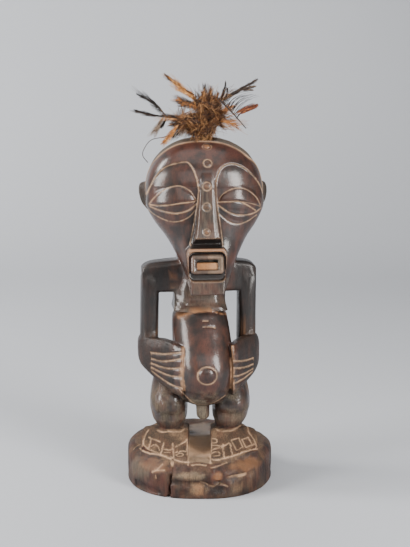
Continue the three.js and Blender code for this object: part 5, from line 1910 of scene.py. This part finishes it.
@dataclass
class Tuft:
    """The feathers in the crown: a matted bundle, the feathers clear of it, a quill and a hair."""

    seed: int = 11
    materials: dict[str, bpy.types.Material] = field(default_factory=dict)

    def finish(self, piece: bpy.types.Object, node: str, plumage: Plumage, slot: str) -> None:
        """Dresses a piece and sets it in place of its node.

        Args:
            piece: The piece.
            node: The node that it stands in for.
            plumage: Its finish.
            slot: Not used.
        """
        if plumage.name not in self.materials:
            self.materials[plumage.name] = plumage.make()
        piece.data.materials.append(self.materials[plumage.name])
        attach(piece, BODY)
        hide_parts(node)
        log.info("%s: %d vertices", piece.name, len(piece.data.vertices))

    def felt(self) -> bpy.types.Object:
        """Makes the closed mass of felted down inside the bundle.

        Returns:
            The piece, in metres, with its tones as an attribute.
        """
        stock = Stock()
        for lump in LUMPS:
            stock.add_ball(lump.skin, lambda points: points)
        felt = stock.fuse("felt")
        skin = Skin(felt)
        folds = np.abs(noise(skin.points, (2.4, 2.4, 5), 91)) + 0.6 * np.abs(noise(skin.points, 1.6, 92))
        skin.push(1.3 * folds - 1.1)
        fewer = felt.modifiers.new("Fewer", "DECIMATE")
        fewer.ratio = 0.12
        settle(felt)
        tones = 0.04 + 0.3 * clamp(noise(coordinates(felt.data), (2.4, 2.4, 5), 91) ** 2 * 4)
        keep(felt.data, "tone", tones)
        felt.data.transform(Matrix.Scale(MM, 4))
        felt.data.shade_smooth()
        return felt

    def bundle(self) -> None:
        """Makes the matted bundle of down and small feathers."""
        dice = np.random.default_rng(self.seed)
        strands = Strands("matted_down")
        for lump in LUMPS:
            lump.build(strands, dice)
        for number in range(28):
            lump = LUMPS[number % 4]
            way = unit(dice.normal(size=3) * (1, 0.8, 1) + (0, -0.3, 0.25))
            reach = way * np.array(lump.size)
            root = lump.centre + reach * 0.5
            tip = lump.centre + reach * dice.uniform(1.1, 1.45) + dice.normal(0, 2, 3)
            tip[2] = max(tip[2], 347)
            face = tuple(dice.normal(size=3) * 0.5 + np.array((0, -1, 0)))
            tone, tip_tone = lump.tone + dice.normal(0, 0.2, 2)
            width, bow = dice.uniform(3.5, 6.5), dice.normal(0, 1.5)
            ends = (tuple(root), tuple(tip))
            small = Vane(*ends, width, bow, 24, tone, tip_tone, spacing=0.6, bare=0.05, shaft=0.3, face=face)
            small.build(strands, dice)
        for part in BUNDLE_PARTS:
            part.build(strands, dice)
        piece = strands.make()
        with bpy.context.temp_override(active_object=piece, selected_editable_objects=[piece, self.felt()]):
            bpy.ops.object.join()
        self.finish(piece, "feather_bundle", DOWN, DOWN.slot)

    def feathers(self) -> None:
        """Makes the feathers that stand clear of the bundle."""
        for number, feather in enumerate(FEATHERS):
            dice = np.random.default_rng(self.seed + 1 + number)
            strands = Strands(feather.node.replace("feather", "plume"))
            for part in feather.parts:
                part.build(strands, dice)
            self.finish(strands.make(), feather.node, feather.plumage, feather.plumage.slot)

    def quill(self) -> None:
        """Makes the bare quill on the right."""
        strands = Strands("bare_quill")
        t = np.linspace(0, 1, 10)[:, None]
        root, tip = np.array((19.5, -14.6, 378.0)), np.array((44.5, -20.0, 351.6))
        path = root + (tip - root) * t + np.array((0.5, 0, 0.4)) * np.sin(math.pi * t)
        strands.add(path, 0.85, 0.45, np.linspace(0.3, 0.6, len(path)))
        self.finish(strands.make(), "quill_right", DARK, "quill")

    def hair(self) -> None:
        """Makes the long hair on the left."""
        strands = Strands("loose_hair")
        stops = (
            (-14, -12.5, 351), (-25, -14, 346.5), (-33.6, -16, 343.4), (-46, -19, 340.6),
            (-52.5, -22, 332.6),
            (-53.8, -24, 326), (-49, -24.5, 319.5),
        )
        strands.add(rounded_path(stops), 0.32, 0.4, 0.42)
        self.finish(strands.make(), "loose_hair_left", DARK, "hair")

    def build(self) -> None:
        """Makes the whole tuft."""
        self.bundle()
        self.feathers()
        self.quill()
        self.hair()


LUMPS = (
    Lump((1.5, -4, 349), (14.5, 12.5, 6.6), 110, 0.32),
    Lump((-7, -5, 358), (16.5, 12.5, 7.4), 155, 0.34),
    Lump((7.5, -2, 372.5), (13.5, 12.5, 9.4), 165, 0.32),
    Lump((11, 0, 360), (13, 11.5, 7.4), 115, 0.44),
    Lump((4, -3, 342), (8.6, 8.8, 5), 30, 0.2),
)
# Small feathers and barbs that stick out of the bundle
BUNDLE_PARTS = (
    Fan(((-16, -8, 366), (-14, -10, 365)), ((-17.5, -9, 377), (-7, -11, 368.5)),
        2, thick=0.5, tone=0.05, spread=0.3),
    Fan(((-9, -13, 347), (-1, -13, 347)), ((-6, -20, 339), (-2, -21, 337.5)), 22, (0, -2.5, 1.5),
        0.12, 0.22),
    Fan(((2, -11, 345), (12, -10, 346)), ((1, -12, 354), (13, -11, 353)), 60, (0, -1.5, 0), 1.15, 0.2),
    Fan(((-4, -6, 379), (22, -6, 374)), ((-8, -8, 390), (33, -9, 389)), 44, (0, 0, 1.0), 0.06, 0.2, 3.0),
    Fan(((22, -8, 366), (22, -8, 350)), ((34, -11, 364), (33, -12, 348)), 34, (0, -1, 0.5), 0.45, 0.18, 2.4),
    Fan(((-20, -8, 364), (-12, -9, 370)), ((-19, -10, 373), (-11, -11, 376)), 12, (0, 0, 0.6),
        0.06, 0.2, 1.8),
    Fan(((-20, -12, 360), (-14, -14, 350)), ((-31, -16, 364), (-24, -20, 345)), 16, (0, 0, 0.6),
        0.35, 0.2, 1.6),
    Vane((-12, -14, 359), (-30, -16, 362.5), 7.5, 0.4, 26, 0.9, 0.95, 0.25),
    Vane((-10, -13, 355), (-27, -15, 355), 6.5, -0.6, 26, 0.75, 0.2, 0.25, bars=0.8),
    Vane((5, -10, 372), (3.5, -12, 385), 5.0, 0.3, 22, 0.6, 0.35, 0.25),
    Vane((9.5, -9, 375), (10.5, -10, 388), 4.6, -0.3, 20, 0.5, 0.2, 0.25),
    Vane((14, -9, 374), (17, -10, 383), 4.2, -0.3, 20, 0.45, 0.2, 0.25),
)
FEATHERS = (
    Feather("feather_black_left", DARK, (
        Vane((-15, -5, 361), (-36, -7, 363.6),
             2.0, 0.3, 38, 1.0, 0.8, 0.25, spacing=0.42, bare=0.4, shaft=0.6),
        Vane((-31, -7, 362.5), (-60, -9, 383.5), 5.0, -2.2, 15, 0.1, 0.3, 0.5, spacing=0.5, loose=0.3),
        Vane((-33, -7, 364), (-57, -10, 380.5),
             3.0, -3.4, 14, 0.75, 0.6, 0.5, spacing=0.6, bare=0.3, shaft=0.35),
        Vane((-31, -7, 362.5), (-61.5, -8, 368.5), 3.8, 1.4, 15, 0.05, 0.12, 0.5, spacing=0.44, loose=0.25),
        Vane((-34, -7, 363), (-42, -6, 350.5), 6.5, 0.5, 16, 0.1, 0.2, 0.25, spacing=0.38),
        Vane((-31, -7, 362), (-37, -6, 352.5), 4.0, 0.5, 17, 0.3, 0.45, 0.2),
    )),
    Feather("feather_tan_top_left", TAN, (
        Vane((-2, -3, 378), (-20, -5, 392), 8.5, 1, 15, 0.5, 0.6, 0.15, spacing=0.34),
        Vane((-12, -4, 386), (-33, -6, 402.5), 3.6, 0.6, 13, 0.65, 0.7),
        Vane((-5, -5, 383), (-29, -6.5, 400), 2.0, 1.6, 12, 0.02, 0.15, 0.2),
        Fan(((-25, -5, 396), (-28, -5.5, 398)), ((-34, -6, 402), (-36, -6, 404)), 7, tone=0.75, thick=0.18),
    )),
    Feather("feather_brown_top_left", TAN, (
        Vane((-2, -9, 373), (-19, -13, 379), 7, 1, 24, 0.3, -0.1, 0.15, spacing=0.36),
        Vane((-2, -10, 371), (-16, -14, 373), 6, -1, 24, 0.5, 0.1, 0.15, spacing=0.36),
    )),
    Feather("feather_dark_top", DARK, (
        Vane((7, -4, 378), (5.5, -5, 390.5), 4.0, 0.4, 14, 0.6, 0.4, loose=0.1),
    )),
    Feather("feather_dark_top_right", DARK, (
        Vane((20.5, 0, 376), (24.8, -2, 394), 3.4, -0.5, 13, 0.2, 0.1, loose=0.1),
        Vane((25, -1, 376), (27, -2, 389), 2.0, -0.3, 13, 0.15, 0.1, spacing=0.5, loose=0.1),
    )),
    Feather("feather_grey_right", DARK, (
        Vane((19, 2, 376), (42, 4, 390), 4.4, -0.5, 15, 0.75, 0.5, 0.15, spacing=0.36, bare=0.12),
        Vane((36, 3.5, 386.5), (55.5, 6, 397.5), 3.4, -0.6, 13, 0.55, 0.35),
        Vane((36, 3.5, 386.5), (54.5, 5, 390.5), 2.8, 0.6, 13, 0.5, 0.3),
        Vane((36, 3.5, 386.5), (52, 5, 387), 2.0, 0.6, 13, 0.5, 0.3, spacing=0.5),
    )),
    Feather("feather_barbed_right", DARK, (
        Fan(((21, -9, 377), (36, -12, 360)), ((34, -11, 390), (55, -13, 375)), 18, (-1.5, 0, 3.2),
            0.12, 0.32, 1.4),
        Fan(((22, -9, 375), (33, -12, 364)), ((46, -12, 387), (55, -13, 381)), 9, (-1, 0, 3.4),
            0.3, 0.24, 2.0),
    )),
    Feather("feather_rust_right", RUST, (
        Vane((20, -3, 357.5), (55.5, -7, 373.5),
             5.0, 1, 26, 0.75, 0.9, 0.15, bare=0.46, bars=0.8, face=(0.1, -1, 0.3)),
        Vane((37, -4.8, 364), (55.5, -7, 372.5), 3.0, -0.6, 13, 0.45, 0.6, 0.2, spacing=0.34, bars=0.5),
    )),
    Feather("feather_tan_low_left", TAN, (
        Vane((-20, -17, 355), (-34, -28, 339.5), 5.0, 1.0, 18, 0.5, 0.6, 0.25, spacing=0.36),
        Fan(((-27, -24, 346), (-30, -26, 343)), ((-33, -29, 338.5), (-38, -30, 343)),
            7, tone=0.6, thick=0.16),
    )),
    Feather("feather_barred_low_left", DARK, (
        Vane((-11, 3, 353), (-25, 11, 343), 9, 0.6, 22, 0.05, 0.1, 0.25, spacing=0.6, bare=0.05, loose=0.2),
        Fan(((-19, -12, 353), (-11, -12, 350)), ((-29, -16, 341.5), (-15, -17, 342.5)), 14, (0, -1, 0.6),
            0.02, 0.28, 0.5),
        Fan(((-19, -12, 353), (-11, -12, 350)), ((-28, -15, 342), (-16, -16, 343)), 9, (0, -1, 0.6),
            0.9, 0.24, 0.5),
    )),
    Feather("feather_tan_low_right", TAN, (
        Vane((20, -8, 358), (36, -13, 354), 8, 1, 26, 0.4, 0.5, 0.4, spacing=0.5, loose=0.3),
    )),
    Feather("feather_brown_back", TAN, (
        Vane((3, 8, 366), (-8, 32, 379),
             9, 2, 38, 0.35, 0.6, 0.25, spacing=0.42, bare=0.08, face=(1, 0, 0.3)),
    )),
    Feather("feather_brown_back_right", TAN, (
        Vane((12, 8, 362), (29, 27, 371),
             9, -2, 38, 0.3, 0.5, 0.25, spacing=0.42, bare=0.08, face=(0.3, -0.4, 1)),
    )),
)

HANDS = (
    Hand(-1, 61.5, 23.2, 121, 117, LEFT_CUTS),
    Hand(1, 55.8, 25.8, 116, 111, RIGHT_CUTS),
)


class Figure:
    """The carved figure and its base, one piece of wood."""

    def build(self) -> bpy.types.Object:
        """Builds, carves and dresses the figure.

        Returns:
            The finished piece.
        """
        stock = Stock()
        legs = (*map(Leg, SIDES), *map(Foot, SIDES))
        for part in (Head(), Nose(), Muzzle(), NeckAndArms(), *HANDS, Belly(), *legs, Base()):
            part.add_to(stock)
            log.info("%s added", type(part).__name__)
        piece = stock.fuse("carved_wood")
        skin = Skin(piece)
        log.info("fused skin: %d vertices", len(skin.points))
        Carver().carve(skin)
        thin_out(skin, SKIN_TRIANGLES)
        Weathering(skin).write()
        piece.data.transform(Matrix.Scale(MM, 4))
        piece.data.shade_smooth()
        piece.data.materials.clear()
        piece.data.materials.append(CarvedWood().make())
        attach(piece, BODY)
        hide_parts("carved_figure")
        return piece


@dataclass
class Studio:
    """A plain pale sweep, soft light from two sides and above, and the camera."""

    eye: Point = (0.0054, -1.1, 0.411)
    pitch: float = math.radians(10.48)
    lens: float = 36 * 1127 / 547
    wall: Colour = srgb(188, 192, 198)

    def camera(self) -> None:
        """Places the camera at the photograph's angle."""
        data = bpy.data.cameras.new("Camera")
        data.sensor_width = 36
        data.lens = self.lens
        data.clip_end = 20
        camera = shown("Camera", data)
        camera.location = self.eye
        camera.rotation_euler = (math.pi / 2 - self.pitch, 0, 0)
        bpy.context.scene.camera = camera

    def sweep(self) -> None:
        """Makes the floor, which curves up into the wall behind."""
        form = bmesh.new()
        bmesh.ops.create_grid(form, x_segments=8, y_segments=64, size=1)
        back, radius, height = 1.1, 0.7, 3.2
        bend = radius * math.pi / 2
        for vertex in form.verts:
            run = (vertex.co.y + 1) / 2 * (5 + bend + height) - 4
            turn = min(max(run - back, 0) / radius, math.pi / 2)
            rise = max(run - back - bend, 0)
            y = min(run, back) + radius * math.sin(turn)
            vertex.co = Vector((vertex.co.x * 4, y, radius * (1 - math.cos(turn)) + rise))
        mesh = bpy.data.meshes.new("Sweep")
        form.to_mesh(mesh)
        form.free()
        mesh.shade_smooth()
        floor = shown("Sweep", mesh)
        sheet = Sheet("Sweep paper")
        tone = sheet.blend(self.wall, srgb(172, 176, 182), sheet.noise((900, 900, 900), 1))
        sheet.dress("Base Color", tone)
        sheet.dress("Roughness", 0.9)
        sheet.dress("Specular IOR Level", 0.1)
        mesh.materials.append(sheet.material)

    def lamp(self, name: str, place: Point, aim: Point, size: tuple[float, float], power: float) -> None:
        """Adds a soft box.

        Args:
            name: Its name.
            place: Where it stands.
            aim: What it points at.
            size: Its width and height.
            power: Its power in watts.
        """
        data = bpy.data.lights.new(name, "AREA")
        data.shape = "RECTANGLE"
        data.size, data.size_y = size
        data.energy = power
        data.color = (1.0, 0.965, 0.93)
        lamp = shown(name, data)
        lamp.location = place
        lamp.rotation_euler = (Vector(aim) - Vector(place)).to_track_quat("-Z", "Y").to_euler()

    def build(self) -> None:
        """Sets up the camera, the sweep and the light."""
        self.camera()
        self.sweep()
        self.lamp("Left box", (-1.14, -0.56, 0.56), (0, 0, 0.2), (0.46, 0.8), 23)
        self.lamp("Right box", (0.87, -0.89, 0.56), (0, 0, 0.2), (0.42, 0.8), 27)
        self.lamp("Front box", (0.15, -1.85, 1.1), (0, 0, 0.12), (1.6, 1.0), 9)
        self.lamp("Top box", (0.0, -0.4, 1.9), (0, 0, 0.2), (1.3, 1.3), 9)
        self.lamp("Wall box", (-1.5, 0.1, 1.5), (-0.7, 1.8, 0.9), (0.8, 0.8), 64)
        world = bpy.data.worlds.new("Room")
        bpy.context.scene.world = world
        world.use_nodes = True
        light = world.node_tree.nodes["Background"]
        light.inputs["Color"].default_value = (1.0, 1.0, 1.0, 1.0)
        light.inputs["Strength"].default_value = 0.2


def main() -> None:
    """Builds the scene in order and reports each piece."""
    logging.basicConfig(level=logging.INFO, format="%(name)s: %(message)s")
    Studio().build()
    figure = Figure().build()
    log.info("%s: %d vertices", figure.name, len(figure.data.vertices))
    Tuft().build()


if __name__ == "__main__":
    main()
